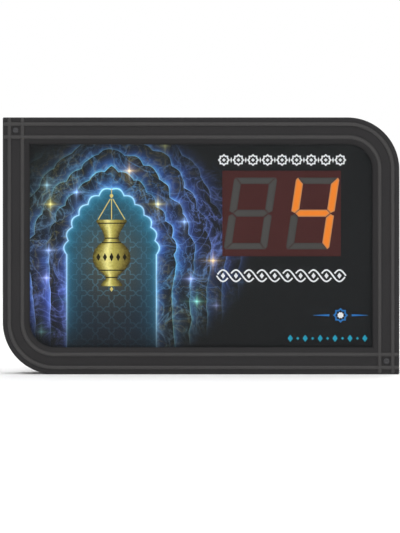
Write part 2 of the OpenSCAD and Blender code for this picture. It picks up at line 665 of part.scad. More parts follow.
// Push buttons: a bush with a stepped bore, a stem with a collar, and a spring behind it
module button_at(z) { translate([tub_x, tub_y, z]) rotate([0, 90, 0]) children(); }
module button_housings() {
    color("#9a9da0") for (z = [count_z, reset_z]) button_at(z) rotate_extrude()
        polygon([[2.2, 1], [5.5, 1], [5.5, 0], [4, 0], [4, -13], [3.3, -13], [3.3, -3], [2.2, -3]]);
}
module button_nuts() {
    color("#c2c5c8") for (z = [count_z, reset_z]) difference() {
        bar_x(tub_y, z, 6.3, tub_x - 4, tub_x - 2, 6);
        bar_x(tub_y, z, 4.05, tub_x - 5, tub_x - 1);
    }
}
module button_bases() {
    color("#3b2a1e") for (z = [count_z, reset_z]) difference() {
        bar_x(tub_y, z, 4, tub_x - 15, tub_x - 13);
        for (s = [-1, 1]) bar_x(tub_y, z + s*1.2, 0.5, tub_x - 16, tub_x - 12, 24);
    }
}
module button_terminals() {
    color("#c9b27a") for (z = [count_z, reset_z], s = [-1, 1]) bar_x(tub_y, z + s*1.2, 0.48, tub_x - 21, tub_x - 12.2, 24);
}
module push_button(z) {
    button_at(z) rotate_extrude()
        polygon([[0, -10.1], [1.2, -10.1], [1.2, -6], [3.2, -6], [3.2, -3], [2.1, -3], [2.1, 2.6], [4, 2.6], [4.1, 2.8], [4.1, 3.5], [3.8, 3.9], [0, 4.1]]);
}
module contact_disc(z) { color("#c9a24a") bar_x(tub_y, z, 1.9, tub_x - 10.6, tub_x - 10.1); }
module count_button() { color("#2f7d3f") push_button(count_z); }
module reset_button() { color("#a3262a") push_button(reset_z); }
module count_contact() { contact_disc(count_z); }
module reset_contact() { contact_disc(reset_z); }

spring_turns = 5;
module coil(z) {
    n = 14;
    color("#c9cccf") tube([for (i = [0:spring_turns*n]) let (t = i/(spring_turns*n))
        [tub_x - 12.7 + 6.4*t, tub_y + 2.4*cos(360*i/n), z + 2.4*sin(360*i/n)]], 0.25, 6);
}
module count_spring() { coil(count_z); }
module reset_spring() { coil(reset_z); }

// ---------------------------------------------------------------- leads

module lead(path, col, r = 1.1) { color(col) tube(smooth(path, 3), r, 8); }
module power_lead() { lead(power_path, "#b02020"); }
module switch_lead() { lead(switch_path, "#202020"); }
module sensor_lead() { lead(sensor_path, "#7a7a7a"); }
module button_lead() { lead(button_path, "#2f4f9f"); }

front_frame();
corner_studs();
panel_tape();
front_glass();
printed_sheet();
display_mask();
tens_housing();
units_housing();
tens_segments();
units_lit_segments();
units_dark_segments();
led_chips();
module_pins();
display_board();
driver_chips();
display_header();
display_standoffs();
display_screws();
control_board();
chip_socket();
controller_chip();
crystal();
voltage_regulator();
heat_sink();
filter_capacitors();
board_headers();
board_spacers();
board_nuts();
ribbon_cable();
ribbon_plugs();
back_cover();
cover_screws();
mounting_screws();
hanger_plates();
hanger_rivets();
wall_bumpers();
control_recess();
dc_socket();
dc_pin();
dc_nut();
sensor_socket();
sensor_nut();
switch_housing();
switch_rocker();
switch_terminals();
button_housings();
button_nuts();
button_bases();
button_terminals();
count_button();
reset_button();
count_contact();
reset_contact();
count_spring();
reset_spring();
power_lead();
switch_lead();
sensor_lead();
button_lead();
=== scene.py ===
import bpy
import bmesh
import math
from mathutils import Matrix, Vector


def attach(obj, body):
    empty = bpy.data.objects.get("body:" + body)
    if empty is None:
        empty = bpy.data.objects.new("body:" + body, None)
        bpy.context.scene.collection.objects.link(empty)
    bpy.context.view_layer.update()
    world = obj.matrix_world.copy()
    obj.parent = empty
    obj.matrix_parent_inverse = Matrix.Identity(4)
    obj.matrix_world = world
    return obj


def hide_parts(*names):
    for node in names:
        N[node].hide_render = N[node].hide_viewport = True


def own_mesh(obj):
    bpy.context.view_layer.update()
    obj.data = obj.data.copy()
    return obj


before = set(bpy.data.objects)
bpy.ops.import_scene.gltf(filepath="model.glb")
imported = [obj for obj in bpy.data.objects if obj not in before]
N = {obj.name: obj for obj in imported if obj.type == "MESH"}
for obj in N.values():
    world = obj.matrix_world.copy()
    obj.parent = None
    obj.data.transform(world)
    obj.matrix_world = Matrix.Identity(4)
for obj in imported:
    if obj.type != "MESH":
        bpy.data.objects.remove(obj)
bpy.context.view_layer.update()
SCENE = bpy.context.scene
MM = 0.001

# ------------------------------------------------------------------ sizes, in millimetres
W, H, R = 318.0, 206.0, 41.6            # case, and its two rounded corners
AX, AZ = W / 2 - R, H - R               # middle of the upper rounded corner
Y_CREST, Y_FACE, Y_BORDER, Y_BACK = -19.0, -17.7, -15.2, 17.0
Y_GLASS, Y_PRINT, Y_MASK = -14.4, -12.0, -11.6
BEADS, BEAD_H, BEAD_HW = (5.5, 15.9), 1.3, 1.6
BORDER, SLOPE_W = 21.6, 4.0
WIN_X, WIN_Z, WIN_W, WIN_H = 64.8, 129.1, 95.3, 68.8
TUB_X, TUB_Y = 150.5, 1.0


def lin(r, g, b, a=1.0):
    """An sRGB colour (0 to 255) as linear values."""
    def f(c):
        c /= 255.0
        return c / 12.92 if c <= 0.04045 else ((c + 0.055) / 1.055) ** 2.4
    return (f(r), f(g), f(b), a)


# ------------------------------------------------------------------ camera
cam_data = bpy.data.cameras.new("camera")
cam = bpy.data.objects.new("camera", cam_data)
SCENE.collection.objects.link(cam)
SCENE.camera = cam
cam_data.lens = 120.0
cam_data.sensor_width = 36.0
PX = 318.0 / 396.9                       # millimetres to a pixel at the front face
frame_h = 533 * PX * MM
cam_dist = frame_h * 120.0 / 36.0
cam.location = (-1.05 * PX * MM, Y_FACE * MM - cam_dist, (103.0 - 20.7 * PX) * MM)
cam.rotation_euler = (math.pi / 2, 0, 0)


# ------------------------------------------------------------------ node helper
class Tree:
    def __init__(self, name):
        self.mat = bpy.data.materials.new(name)
        self.mat.use_nodes = True
        self.t = self.mat.node_tree
        self.t.nodes.clear()
        self.out = self.t.nodes.new("ShaderNodeOutputMaterial")
        self._mm = None

    def add(self, kind, **props):
        n = self.t.nodes.new("ShaderNode" + kind)
        for k, v in props.items():
            setattr(n, k, v)
        return n

    def put(self, socket, v):
        if isinstance(v, bpy.types.NodeSocket):
            self.t.links.new(v, socket)
        else:
            socket.default_value = v

    def m(self, op, a, b=0.0, c=0.0, clamp=False):
        n = self.add("Math", operation=op, use_clamp=clamp)
        for s, v in zip(n.inputs, (a, b, c)):
            self.put(s, v)
        return n.outputs[0]

    def mix(self, fac, a, b, blend="MIX"):
        n = self.add("Mix", data_type="RGBA", blend_type=blend, clamp_factor=True)
        self.put(n.inputs[0], fac)
        self.put(n.inputs[6], a)
        self.put(n.inputs[7], b)
        return n.outputs[2]

    def mm(self):
        """Place on the object, in millimetres."""
        if self._mm is None:
            tc = self.add("TexCoord")
            v = self.add("VectorMath", operation="SCALE")
            self.put(v.inputs[0], tc.outputs["Object"])
            v.inputs["Scale"].default_value = 1000.0
            self._mm = v.outputs[0]
        return self._mm

    def xyz(self, v=None):
        s = self.add("SeparateXYZ")
        self.put(s.inputs[0], v or self.mm())
        return s.outputs

    def vec(self, x=0.0, y=0.0, z=0.0):
        c = self.add("CombineXYZ")
        for s, v in zip(c.inputs, (x, y, z)):
            self.put(s, v)
        return c.outputs[0]

    def noise(self, scale, detail=2.0, rough=0.5, vec=None, dims="3D", distort=0.0):
        n = self.add("TexNoise", noise_dimensions=dims)
        self.put(n.inputs["Vector"], vec or self.mm())
        n.inputs["Scale"].default_value = scale
        n.inputs["Detail"].default_value = detail
        n.inputs["Roughness"].default_value = rough
        n.inputs["Distortion"].default_value = distort
        return n.outputs["Fac"]

    def stretch(self, sx, sy, sz):
        n = self.add("VectorMath", operation="MULTIPLY")
        self.put(n.inputs[0], self.mm())
        n.inputs[1].default_value = (sx, sy, sz)
        return n.outputs[0]

    def remap(self, v, a, b, c, d, smooth=False):
        n = self.add("MapRange", interpolation_type="SMOOTHSTEP" if smooth else "LINEAR", clamp=True)
        for s, q in zip(n.inputs, (v, a, b, c, d)):
            self.put(s, q)
        return n.outputs[0]

    def ramp(self, fac, stops):
        n = self.add("ValToRGB")
        el = n.color_ramp.elements
        while len(el) < len(stops):
            el.new(0.5)
        for e, (p, col) in zip(el, stops):
            e.position = p
            e.color = col
        self.put(n.inputs[0], fac)
        return n.outputs[0]

    def bump(self, height, depth_mm, strength=1.0, normal=None):
        n = self.add("Bump")
        n.inputs["Strength"].default_value = strength
        n.inputs["Distance"].default_value = depth_mm * MM
        self.put(n.inputs["Height"], height)
        if normal is not None:
            self.put(n.inputs["Normal"], normal)
        return n.outputs[0]

    def bsdf(self, **kw):
        n = self.add("BsdfPrincipled")
        for k, v in kw.items():
            self.put(n.inputs[k.replace("_", " ")], v)
        self.t.links.new(n.outputs[0], self.out.inputs[0])
        return n


def shade(col, k):
    return (min(1, col[0] * k), min(1, col[1] * k), min(1, col[2] * k), 1.0)


# ------------------------------------------------------------------ materials
def moulded(name, col, rough=0.5, grain=0.55, depth=0.016, spec=0.35, drift=0.07):
    """Injection moulded plastic with a fine spark-eroded grain."""
    t = Tree(name)
    big = t.noise(0.035, 3.0, 0.55)
    fine = t.noise(1.0 / grain, 2.5, 0.6)
    col_out = t.mix(big, shade(col, 1 - drift), shade(col, 1 + drift))
    specks = t.remap(fine, 0.62, 0.75, 0.0, 0.35)
    col_out = t.mix(specks, col_out, shade(col, 1.35))
    ro = t.m("ADD", t.remap(big, 0.3, 0.7, rough - 0.04, rough + 0.04), t.remap(fine, 0.3, 0.7, -0.05, 0.05))
    pits = t.noise(0.62 / grain, 2.0, 0.5)
    t.bsdf(Base_Color=col_out, Roughness=ro, Specular_IOR_Level=spec, Normal=t.bump(fine, depth * 3.5, 0.9, t.bump(pits, depth * 5.0, 0.8)))
    return t.mat


def frame_plastic(name):
    """Grained dark plastic; the raised beads are painted paler as a highlight and rubbed a little smoother, and the
    slope to the opening has painted shade, darker towards the opening.
    """
    t = Tree(name)
    x, y, z = t.xyz()
    big = t.noise(0.03, 3.0, 0.55)
    fine = t.noise(1.9, 2.5, 0.6)
    col = t.mix(big, lin(45, 44, 45), lin(49, 48, 49))
    col = t.mix(t.remap(fine, 0.62, 0.76, 0.0, 0.5), col, lin(61, 60, 61))
    # painted highlight: the bead crests are coloured paler in place of the light they catch; the same mask also makes
    # them a little smoother, as rub wear
    crest_highlight_and_rub = t.remap(y, Y_FACE - 0.12, Y_FACE - 0.6, 0.0, 1.0, smooth=True)
    crest_highlight_and_rub = t.m("MULTIPLY", crest_highlight_and_rub, t.remap(t.noise(0.12, 3.0, 0.6), 0.3, 0.7, 0.86, 1.0))
    col = t.mix(crest_highlight_and_rub, col, lin(68, 67, 67))
    # painted shade: inside the border, the slope is coloured darker the further it runs back towards the opening
    slope_shade_zone = t.m("MULTIPLY", t.m("LESS_THAN", t.m("ABSOLUTE", x), W / 2 - 17.5), t.m("LESS_THAN", t.m("ABSOLUTE", t.m("SUBTRACT", z, H / 2)), H / 2 - 17.5))
    col = t.mix(t.m("MULTIPLY", slope_shade_zone, t.remap(y, Y_FACE + 0.05, Y_FACE + 1.7, 0.0, 1.0)), col, lin(41, 40, 41))
    ro = t.m("ADD", t.remap(big, 0.3, 0.7, 0.5, 0.56), t.remap(fine, 0.3, 0.7, -0.05, 0.05))
    ro = t.m("SUBTRACT", ro, t.m("MULTIPLY", crest_highlight_and_rub, 0.1))
    pits = t.noise(1.05, 2.0, 0.5)
    t.bsdf(Base_Color=col, Roughness=ro, Specular_IOR_Level=0.2, Normal=t.bump(fine, 0.07, 0.9, t.bump(pits, 0.1, 0.8)))
    return t.mat


def gloss(name, col, rough=0.2, spec=0.5, coat=0.0):
    """Smooth moulded plastic with faint flow marks and handling marks."""
    t = Tree(name)
    big = t.noise(0.09, 3.0, 0.6)
    fine = t.noise(0.9, 2.0, 0.5)
    scr = t.noise(0.5, 4.0, 0.7, t.stretch(1.0, 1.0, 7.0))
    c = t.mix(big, shade(col, 0.9), shade(col, 1.1))
    ro = t.m("ADD", t.remap(scr, 0.4, 0.75, rough, rough + 0.14), t.remap(fine, 0.3, 0.7, -0.03, 0.03))
    t.bsdf(Base_Color=c, Roughness=ro, Specular_IOR_Level=spec, Coat_Weight=coat, Normal=t.bump(fine, 0.006, 0.35))
    return t.mat


def plated(name, col, rough=0.28, lines=(1.0, 1.0, 9.0), dull=0.16):
    """Plated or bare metal with drawn lines and a little tarnish."""
    t = Tree(name)
    brushed = t.noise(0.8, 4.0, 0.65, t.stretch(*lines))
    spots = t.noise(0.22, 4.0, 0.6)
    c = t.mix(t.remap(spots, 0.45, 0.7, 0.0, 1.0), col, shade(col, 0.72))
    ro = t.m("ADD", t.remap(brushed, 0.3, 0.7, rough - 0.06, rough + 0.08), t.remap(spots, 0.5, 0.75, 0.0, dull))
    t.bsdf(Base_Color=c, Metallic=1.0, Roughness=ro, Normal=t.bump(brushed, 0.006, 0.4))
    return t.mat


def rubber(name, col, rough=0.75):
    t = Tree(name)
    fine = t.noise(2.2, 3.0, 0.6)
    big = t.noise(0.12, 3.0, 0.6)
    c = t.mix(big, shade(col, 0.85), shade(col, 1.2))
    t.bsdf(Base_Color=c, Roughness=t.remap(fine, 0.3, 0.7, rough - 0.08, rough + 0.08), Specular_IOR_Level=0.25,
           Normal=t.bump(fine, 0.02, 0.5))
    return t.mat


def circuit_board(name):
    """Green solder mask over copper tracks."""
    t = Tree(name)
    x, y, z = t.xyz()
    grid = t.add("TexVoronoi", voronoi_dimensions="2D", feature="F1", distance="CHEBYCHEV")
    t.put(grid.inputs["Vector"], t.vec(x, z, 0.0))
    grid.inputs["Scale"].default_value = 0.16
    grid.inputs["Randomness"].default_value = 0.6
    tracks = t.m("GREATER_THAN", t.m("FRACT", t.m("MULTIPLY", grid.outputs["Distance"], 7.0)), 0.62)
    weave = t.noise(1.6, 2.0, 0.5)
    c = t.mix(tracks, lin(22, 92, 52), lin(38, 122, 66))
    c = t.mix(t.remap(weave, 0.35, 0.7, 0.0, 0.3), c, lin(16, 74, 42))
    t.bsdf(Base_Color=c, Roughness=t.remap(weave, 0.3, 0.7, 0.28, 0.4), Specular_IOR_Level=0.5, Normal=t.bump(tracks, 0.03, 0.5))
    return t.mat


def clear_acrylic(name):
    """Thin clear sheet: see-through, with a fresnel gloss on its outside."""
    t = Tree(name)
    wave = t.noise(0.02, 2.0, 0.5)
    haze = t.noise(0.4, 3.0, 0.6)
    fr = t.add("Fresnel")
    fr.inputs["IOR"].default_value = 1.15
    geo = t.add("NewGeometry")
    front = t.m("SUBTRACT", 1.0, geo.outputs["Backfacing"])
    fac = t.m("MULTIPLY", fr.outputs[0], front)
    clear = t.add("BsdfTransparent")
    clear.inputs[0].default_value = (0.985, 0.99, 0.99, 1)
    sheen = t.add("BsdfGlossy")
    sheen.inputs["Color"].default_value = (1, 1, 1, 1)
    t.put(sheen.inputs["Roughness"], t.remap(haze, 0.3, 0.8, 0.06, 0.12))
    t.put(sheen.inputs["Normal"], t.bump(wave, 0.05, 0.15))
    mixer = t.add("MixShader")
    t.put(mixer.inputs[0], fac)
    t.put(mixer.inputs[1], clear.outputs[0])
    t.put(mixer.inputs[2], sheen.outputs[0])
    t.put(t.out.inputs[0], mixer.outputs[0])
    return t.mat


def printed_face(name):
    """The printed sheet: a lobed niche in folds of blue, teal, green and gold light, fading to near black."""
    t = Tree(name)
    x, y, z = t.xyz()
    M = t.m

    def gauss(cx, cz, rx, rz):
        dx = M("MULTIPLY", M("SUBTRACT", x, cx), 1.0 / rx)
        dz = M("MULTIPLY", M("SUBTRACT", z, cz), 1.0 / rz)
        s = M("ADD", M("MULTIPLY", dx, dx), M("MULTIPLY", dz, dz))
        return M("EXPONENT", M("MULTIPLY", s, -1.0))

    def times(colour, k):
        n = t.add("VectorMath", operation="SCALE")
        t.put(n.inputs[0], colour[:3] if isinstance(colour, tuple) else colour)
        t.put(n.inputs["Scale"], k)
        return n.outputs[0]

    def both(op, a, b):
        n = t.add("VectorMath", operation=op)
        t.put(n.inputs[0], a)
        t.put(n.inputs[1], b)
        return n.outputs[0]

    def bell(v, width):
        q = M("MULTIPLY", v, 1.0 / width)
        return M("EXPONENT", M("MULTIPLY", M("MULTIPLY", q, q), -1.0))

    flow = t.noise(0.016, 3.0, 0.55, t.vec(x, 0.0, z))
    glow = t.remap(t.noise(0.02, 2.0, 0.5, t.vec(x, 57.0, z)), 0.36, 0.62, 0.22, 1.2, smooth=True)
    silk = t.noise(0.06, 5.0, 0.6, t.vec(x, 31.0, z), distort=1.6)
    # the niche's outline: straight jambs and a pointed top with lobes
    cx, half, spring, c = -72.0, 36.0, 96.0, 20.0
    n_lobes = 6
    arc = half + c
    lobe = arc * math.acos(c / arc) / n_lobes
    ax = M("ABSOLUTE", M("SUBTRACT", x, cx))
    up = M("SUBTRACT", z, spring)
    axc = M("ADD", ax, c)
    du = M("SUBTRACT", M("SQRT", M("ADD", M("MULTIPLY", axc, axc), M("MULTIPLY", up, up))), arc)
    dl = M("SUBTRACT", ax, half)
    above = M("GREATER_THAN", up, 0.0)
    phi = M("ARCTAN2", up, axc)
    cusps = M("MULTIPLY", M("ABSOLUTE", M("SINE", M("MULTIPLY", phi, arc * math.pi / lobe))), 2.6)
    d0 = M("ADD", M("MULTIPLY", above, M("SUBTRACT", M("SUBTRACT", du, cusps), dl)), dl)
    outside = M("GREATER_THAN", d0, 0.0)
    inside = M("SUBTRACT", 1.0, outside)
    dabs = M("ABSOLUTE", d0)
    # folds of light around the niche, each bright at its inner rim
    pitch = 13.5
    soft = M("MULTIPLY", M("SUBTRACT", flow, 0.5), 26.0)
    band = M("MULTIPLY", M("ADD", d0, M("MULTIPLY", soft, M("MINIMUM", M("MULTIPLY", dabs, 0.045), 1.0))), 1.0 / pitch)
    f = M("FRACT", band)
    k = M("FLOOR", band)
    amp = M("MULTIPLY", M("EXPONENT", M("MULTIPLY", k, -0.1)), glow)
    fold = t.ramp(f, [(0.0, lin(148, 182, 224)), (0.04, lin(80, 116, 184)), (0.2, lin(44, 67, 132)), (0.5, lin(24, 35, 74)),
                      (0.8, lin(12, 16, 32)), (0.988, lin(6, 8, 15)), (1.0, lin(106, 138, 190))])
    violet = M("ADD", gauss(10.0, 124.0, 44.0, 56.0), gauss(-112.0, 50.0, 36.0, 40.0), clamp=True)
    teal = M("ADD", gauss(-72.0, 158.0, 62.0, 34.0), gauss(-22.0, 74.0, 30.0, 40.0), clamp=True)
    green = M("ADD", gauss(-128.0, 150.0, 40.0, 52.0), gauss(-14.0, 36.0, 36.0, 34.0), clamp=True)
    tint = t.mix(violet, (0.88, 1.0, 1.0, 1), (1.22, 1.0, 1.3, 1))
    tint = t.mix(M("MULTIPLY", teal, 0.7), tint, (0.4, 1.3, 0.98, 1))
    tint = t.mix(M("MULTIPLY", green, 0.85), tint, (0.84, 1.06, 0.5, 1))
    art = times(both("MULTIPLY", fold, tint), M("MULTIPLY", M("MULTIPLY", amp, outside), t.remap(silk, 0.25, 0.75, 0.5, 1.6)))
    # fine threads of light that run across the folds
    blue_thread = both("MULTIPLY", tint, lin(104, 130, 190)[:3])
    gilt = M("SUBTRACT", 0.34, M("MULTIPLY", violet, 0.34))
    for off, sc, gain, col in ((11.0, 0.034, 0.5, blue_thread), (83.0, 0.05, 0.3, blue_thread), (140.0, 0.042, gilt, lin(140, 136, 76))):
        n = t.noise(sc, 3.0, 0.5, t.vec(x, off, z), distort=1.8)
        ridge = M("SUBTRACT", 1.0, M("ABSOLUTE", M("SUBTRACT", M("MULTIPLY", n, 2.0), 1.0)))
        thread = M("MULTIPLY", M("POWER", ridge, 34.0), M("MULTIPLY", outside, gain))
        art = both("ADD", art, times(col, thread))
    # the niche: deep blue-green, brighter at its rim, with a lattice of eight-pointed stars lit by the lamp
    low = t.remap(z, 30.0, 150.0, 0.0, 1.0, smooth=True)
    art = both("ADD", art, times(t.mix(low, lin(8, 20, 34), lin(15, 66, 82)), inside))
    rim_in = M("MULTIPLY", M("EXPONENT", M("MULTIPLY", dabs, -0.16)), inside)
    art = both("ADD", art, times(lin(20, 122, 158), M("MULTIPLY", rim_in, t.remap(z, 20.0, 110.0, 0.2, 0.8))))
    warm = gauss(cx, 92.0, 22.0, 30.0)
    cellp = 13.0
    u = M("ABSOLUTE", M("SUBTRACT", M("FRACT", M("MULTIPLY", M("SUBTRACT", x, cx), 1.0 / cellp)), 0.5))
    v = M("ABSOLUTE", M("SUBTRACT", M("FRACT", M("MULTIPLY", z, 1.0 / cellp)), 0.5))
    side = 0.5 / math.sqrt(2.0) - 0.012
    s1 = M("SUBTRACT", M("MAXIMUM", u, v), side)
    s2 = M("SUBTRACT", M("MULTIPLY", M("ADD", u, v), math.sqrt(0.5)), side)
    tile = M("MULTIPLY", bell(M("MINIMUM", s1, s2), 0.03), inside)
    art = both("ADD", art, times(lin(84, 160, 190), M("MULTIPLY", tile, M("ADD", M("MULTIPLY", warm, 0.34), 0.07))))
    art = both("ADD", art, times(lin(150, 126, 56), M("MULTIPLY", M("MULTIPLY", warm, inside), 0.2)))
    edge = M("ADD", bell(d0, 0.55), M("MULTIPLY", bell(d0, 2.2), 0.16))
    art = both("ADD", art, times(lin(178, 220, 250), M("MULTIPLY", edge, t.remap(z, 22.0, 100.0, 0.2, 0.66))))
    # sparks
    vor = t.add("TexVoronoi", voronoi_dimensions="2D", feature="F1", distance="MINKOWSKI")
    t.put(vor.inputs["Vector"], t.vec(x, z, 0.0))
    vor.inputs["Scale"].default_value = 0.042
    vor.inputs["Randomness"].default_value = 0.95
    vor.inputs["Exponent"].default_value = 0.55
    pick = t.add("SeparateColor")
    t.put(pick.inputs[0], vor.outputs["Color"])
    chosen = M("MULTIPLY", M("GREATER_THAN", pick.outputs[0], 0.42), outside)
    far = vor.outputs["Distance"]
    spark = M("ADD", M("MULTIPLY", M("EXPONENT", M("MULTIPLY", far, -10.0)), 1.7), M("MULTIPLY", M("EXPONENT", M("MULTIPLY", far, -3.6)), 0.2))
    hue = t.ramp(pick.outputs[1], [(0.0, lin(120, 200, 255)), (0.3, lin(180, 180, 250)), (0.55, lin(110, 235, 170)), (0.85, lin(255, 214, 120))])
    art = both("ADD", art, times(hue, M("MULTIPLY", spark, chosen)))
    # fade to the plain dark field
    ex = M("MULTIPLY", M("SUBTRACT", x, -66.0), 1.0 / 110.0)
    ez = M("MULTIPLY", M("SUBTRACT", z, 102.0), 1.0 / 98.0)
    rr = M("SQRT", M("ADD", M("MULTIPLY", ex, ex), M("MULTIPLY", ez, ez)))
    fade = t.remap(rr, 0.62, 1.0, 0.88, 0.0, smooth=True)
    paper = t.noise(1.2, 3.0, 0.6)
    ground = t.mix(paper, lin(33, 34, 35), lin(37, 38, 39))
    t.bsdf(Base_Color=both("ADD", ground, times(art, fade)), Roughness=t.remap(paper, 0.3, 0.7, 0.42, 0.52), Specular_IOR_Level=0.12)
    return t.mat


def ink(name, col, rough=0.45):
    """Solid printing ink with a slight screen texture."""
    t = Tree(name)
    fine = t.noise(1.8, 2.0, 0.5)
    c = t.mix(t.remap(fine, 0.35, 0.7, 0.0, 1.0), col, shade(col, 0.9))
    t.bsdf(Base_Color=c, Roughness=t.remap(fine, 0.3, 0.7, rough - 0.05, rough + 0.05), Specular_IOR_Level=0.15)
    return t.mat


def gold_ink(name):
    """Printed gold with a painted roundness: attribute u runs across the figure."""
    t = Tree(name)
    at = t.add("Attribute", attribute_name="across")
    fine = t.noise(0.5, 3.0, 0.6)
    f = t.m("ADD", at.outputs["Fac"], t.remap(fine, 0.3, 0.7, -0.05, 0.05))
    c = t.ramp(f, [(0.0, lin(72, 62, 26)), (0.2, lin(150, 138, 66)), (0.38, lin(232, 222, 140)), (0.55, lin(178, 166, 84)), (0.85, lin(112, 100, 46)), (1.0, lin(58, 50, 22))])
    t.bsdf(Base_Color=c, Roughness=0.42, Specular_IOR_Level=0.15)
    return t.mat


def mask_plastic(name):
    t = Tree(name)
    fine = t.noise(1.4, 2.5, 0.6)
    big = t.noise(0.05, 3.0, 0.5)
    c = t.mix(big, lin(67, 35, 34), lin(72, 38, 37))
    c = t.mix(t.remap(fine, 0.55, 0.75, 0.0, 0.3), c, lin(77, 43, 42))
    t.bsdf(Base_Color=c, Roughness=t.remap(fine, 0.3, 0.7, 0.5, 0.62), Specular_IOR_Level=0.2, Normal=t.bump(fine, 0.01, 0.4))
    return t.mat


def dark_diffuser(name):
    """Unlit segment: milky grey epoxy, slightly darker towards its edge."""
    t = Tree(name)
    core = t.add("Attribute", attribute_name="core").outputs["Fac"]
    fine = t.noise(1.1, 3.0, 0.6)
    c = t.mix(core, lin(62, 58, 56), lin(71, 70, 68))
    c = t.mix(t.remap(fine, 0.4, 0.7, 0.0, 0.35), c, lin(66, 66, 66))
    t.bsdf(Base_Color=c, Roughness=t.remap(fine, 0.3, 0.7, 0.36, 0.46), Specular_IOR_Level=0.3, Normal=t.bump(fine, 0.01, 0.3))
    return t.mat


def lit_diffuser(name):
    """Lit segment: strong orange in the middle, a little paler where the wall of the well shows."""
    t = Tree(name)
    core = t.add("Attribute", attribute_name="core").outputs["Fac"]
    fine = t.noise(0.35, 3.0, 0.6)
    c = t.mix(core, lin(188, 134, 92), lin(236, 131, 42))
    c = t.mix(t.m("MULTIPLY", core, t.remap(fine, 0.45, 0.7, 0.0, 0.4)), c, lin(240, 141, 52))
    t.bsdf(Base_Color=lin(70, 34, 14), Roughness=0.4, Specular_IOR_Level=0.2, Emission_Color=c, Emission_Strength=0.97)
    return t.mat


MAT = {
    "frame": frame_plastic("frame_plastic"),
    "recess": moulded("recess_plastic", lin(46, 46, 46), 0.52),
    "cover": moulded("cover_plastic", lin(47, 47, 48), 0.56, grain=0.8, depth=0.03),
    "stud": gloss("stud_metal", lin(66, 66, 68), 0.42, 0.4),
    "tape": rubber("foam_tape", lin(30, 30, 30), 0.9),
    "acrylic": clear_acrylic("clear_acrylic"),
    "print": printed_face("printed_face"),
    "card": rubber("sheet_back", lin(120, 121, 122), 0.7),
    "mask": mask_plastic("display_mask"),
    "housing": moulded("digit_housing", lin(44, 44, 45), 0.55),
    "dark": dark_diffuser("dark_diffuser"),
    "lit": lit_diffuser("lit_diffuser"),
    "led": gloss("led_phosphor", lin(236, 220, 150), 0.4),
    "tin": plated("tinned", lin(205, 206, 208), 0.25),
    "pcb": circuit_board("circuit_board"),
    "chip": moulded("chip_epoxy", lin(30, 30, 31), 0.5, grain=0.3, depth=0.01),
    "conn_black": gloss("connector_black", lin(26, 26, 27), 0.38),
    "conn_cream": gloss("connector_cream", lin(226, 216, 190), 0.4),
    "brass": plated("brass", lin(206, 168, 92), 0.26),
    "zinc": plated("zinc_screw", lin(190, 192, 196), 0.3),
    "black_screw": plated("black_screw", lin(70, 70, 72), 0.38),
    "can": plated("can_metal", lin(204, 206, 210), 0.22),
    "sink": plated("heat_sink", lin(168, 172, 176), 0.4, lines=(9.0, 1.0, 1.0)),
    "cap_sleeve": gloss("capacitor_sleeve", lin(38, 52, 96), 0.3),
    "ribbon": rubber("ribbon_grey", lin(148, 150, 152), 0.55),
    "steel": plated("hanger_steel", lin(186, 189, 192), 0.34),
    "bumper": rubber("bumper_rubber", lin(32, 32, 32), 0.8),
    "socket": gloss("socket_black", lin(28, 28, 29), 0.32),
    "nickel": plated("nickel_nut", lin(200, 200, 198), 0.22),
    "rocker": gloss("rocker_black", lin(24, 24, 25), 0.24, coat=0.2),
    "phenolic": moulded("phenolic", lin(92, 62, 40), 0.5),
    "green": gloss("count_green", lin(36, 138, 62), 0.24, coat=0.25),
    "red": gloss("reset_red", lin(176, 34, 36), 0.24, coat=0.25),
    "spring": plated("spring_wire", lin(196, 198, 200), 0.25),
    "wire_red": rubber("lead_red", lin(168, 32, 30), 0.5),
    "wire_black": rubber("lead_black", lin(30, 30, 31), 0.5),
    "wire_grey": rubber("lead_grey", lin(128, 128, 128), 0.5),
    "wire_blue": rubber("lead_blue", lin(46, 78, 160), 0.5),
    "white_ink": ink("white_ink", lin(226, 227, 229)),
    "cyan_ink": ink("cyan_ink", lin(38, 150, 178)),
    "blue_ink": ink("blue_ink", lin(44, 112, 178)),
    "gold_ink": gold_ink("gold_ink"),
    "dark_ink": ink("dark_ink", lin(38, 36, 26)),
    "mark_ink": ink("mark_ink", lin(222, 222, 220)),
}

NODE_MAT = {
    "corner_studs": "stud", "panel_tape": "tape", "front_glass": "acrylic", "display_mask": "mask",
    "tens_housing": "housing", "units_housing": "housing", "led_chips": "led", "module_pins": "tin",
    "display_board": "pcb", "driver_chips": "chip", "display_header": "conn_black", "display_standoffs": "brass",
    "display_screws": "zinc", "control_board": "pcb", "chip_socket": "conn_black", "controller_chip": "chip",
    "crystal": "can", "voltage_regulator": "chip", "heat_sink": "sink", "filter_capacitors": "cap_sleeve",
    "board_headers": "conn_cream", "board_spacers": "conn_cream", "board_nuts": "zinc", "ribbon_cable": "ribbon",
    "ribbon_plugs": "conn_black", "back_cover": "cover", "cover_screws": "black_screw", "mounting_screws": "zinc",
    "hanger_plates": "steel", "hanger_rivets": "steel", "wall_bumpers": "bumper", "control_recess": "recess",
    "dc_socket": "socket", "dc_pin": "tin", "dc_nut": "nickel", "sensor_socket": "socket", "sensor_nut": "nickel",
    "switch_housing": "socket", "switch_rocker": "rocker", "switch_terminals": "brass", "button_housings": "nickel",
    "button_nuts": "nickel", "button_bases": "phenolic", "button_terminals": "brass", "count_button": "green",
    "reset_button": "red", "count_contact": "brass", "reset_contact": "brass", "count_spring": "spring",
    "reset_spring": "spring", "power_lead": "wire_red", "switch_lead": "wire_black", "sensor_lead": "wire_grey",
    "button_lead": "wire_blue", "front_frame": "frame", "printed_sheet": "print", "tens_segments": "dark",
    "units_dark_segments": "dark", "units_lit_segments": "lit",
}
for n, key in NODE_MAT.items():
    N[n].data.materials.clear()
    N[n].data.materials.append(MAT[key])


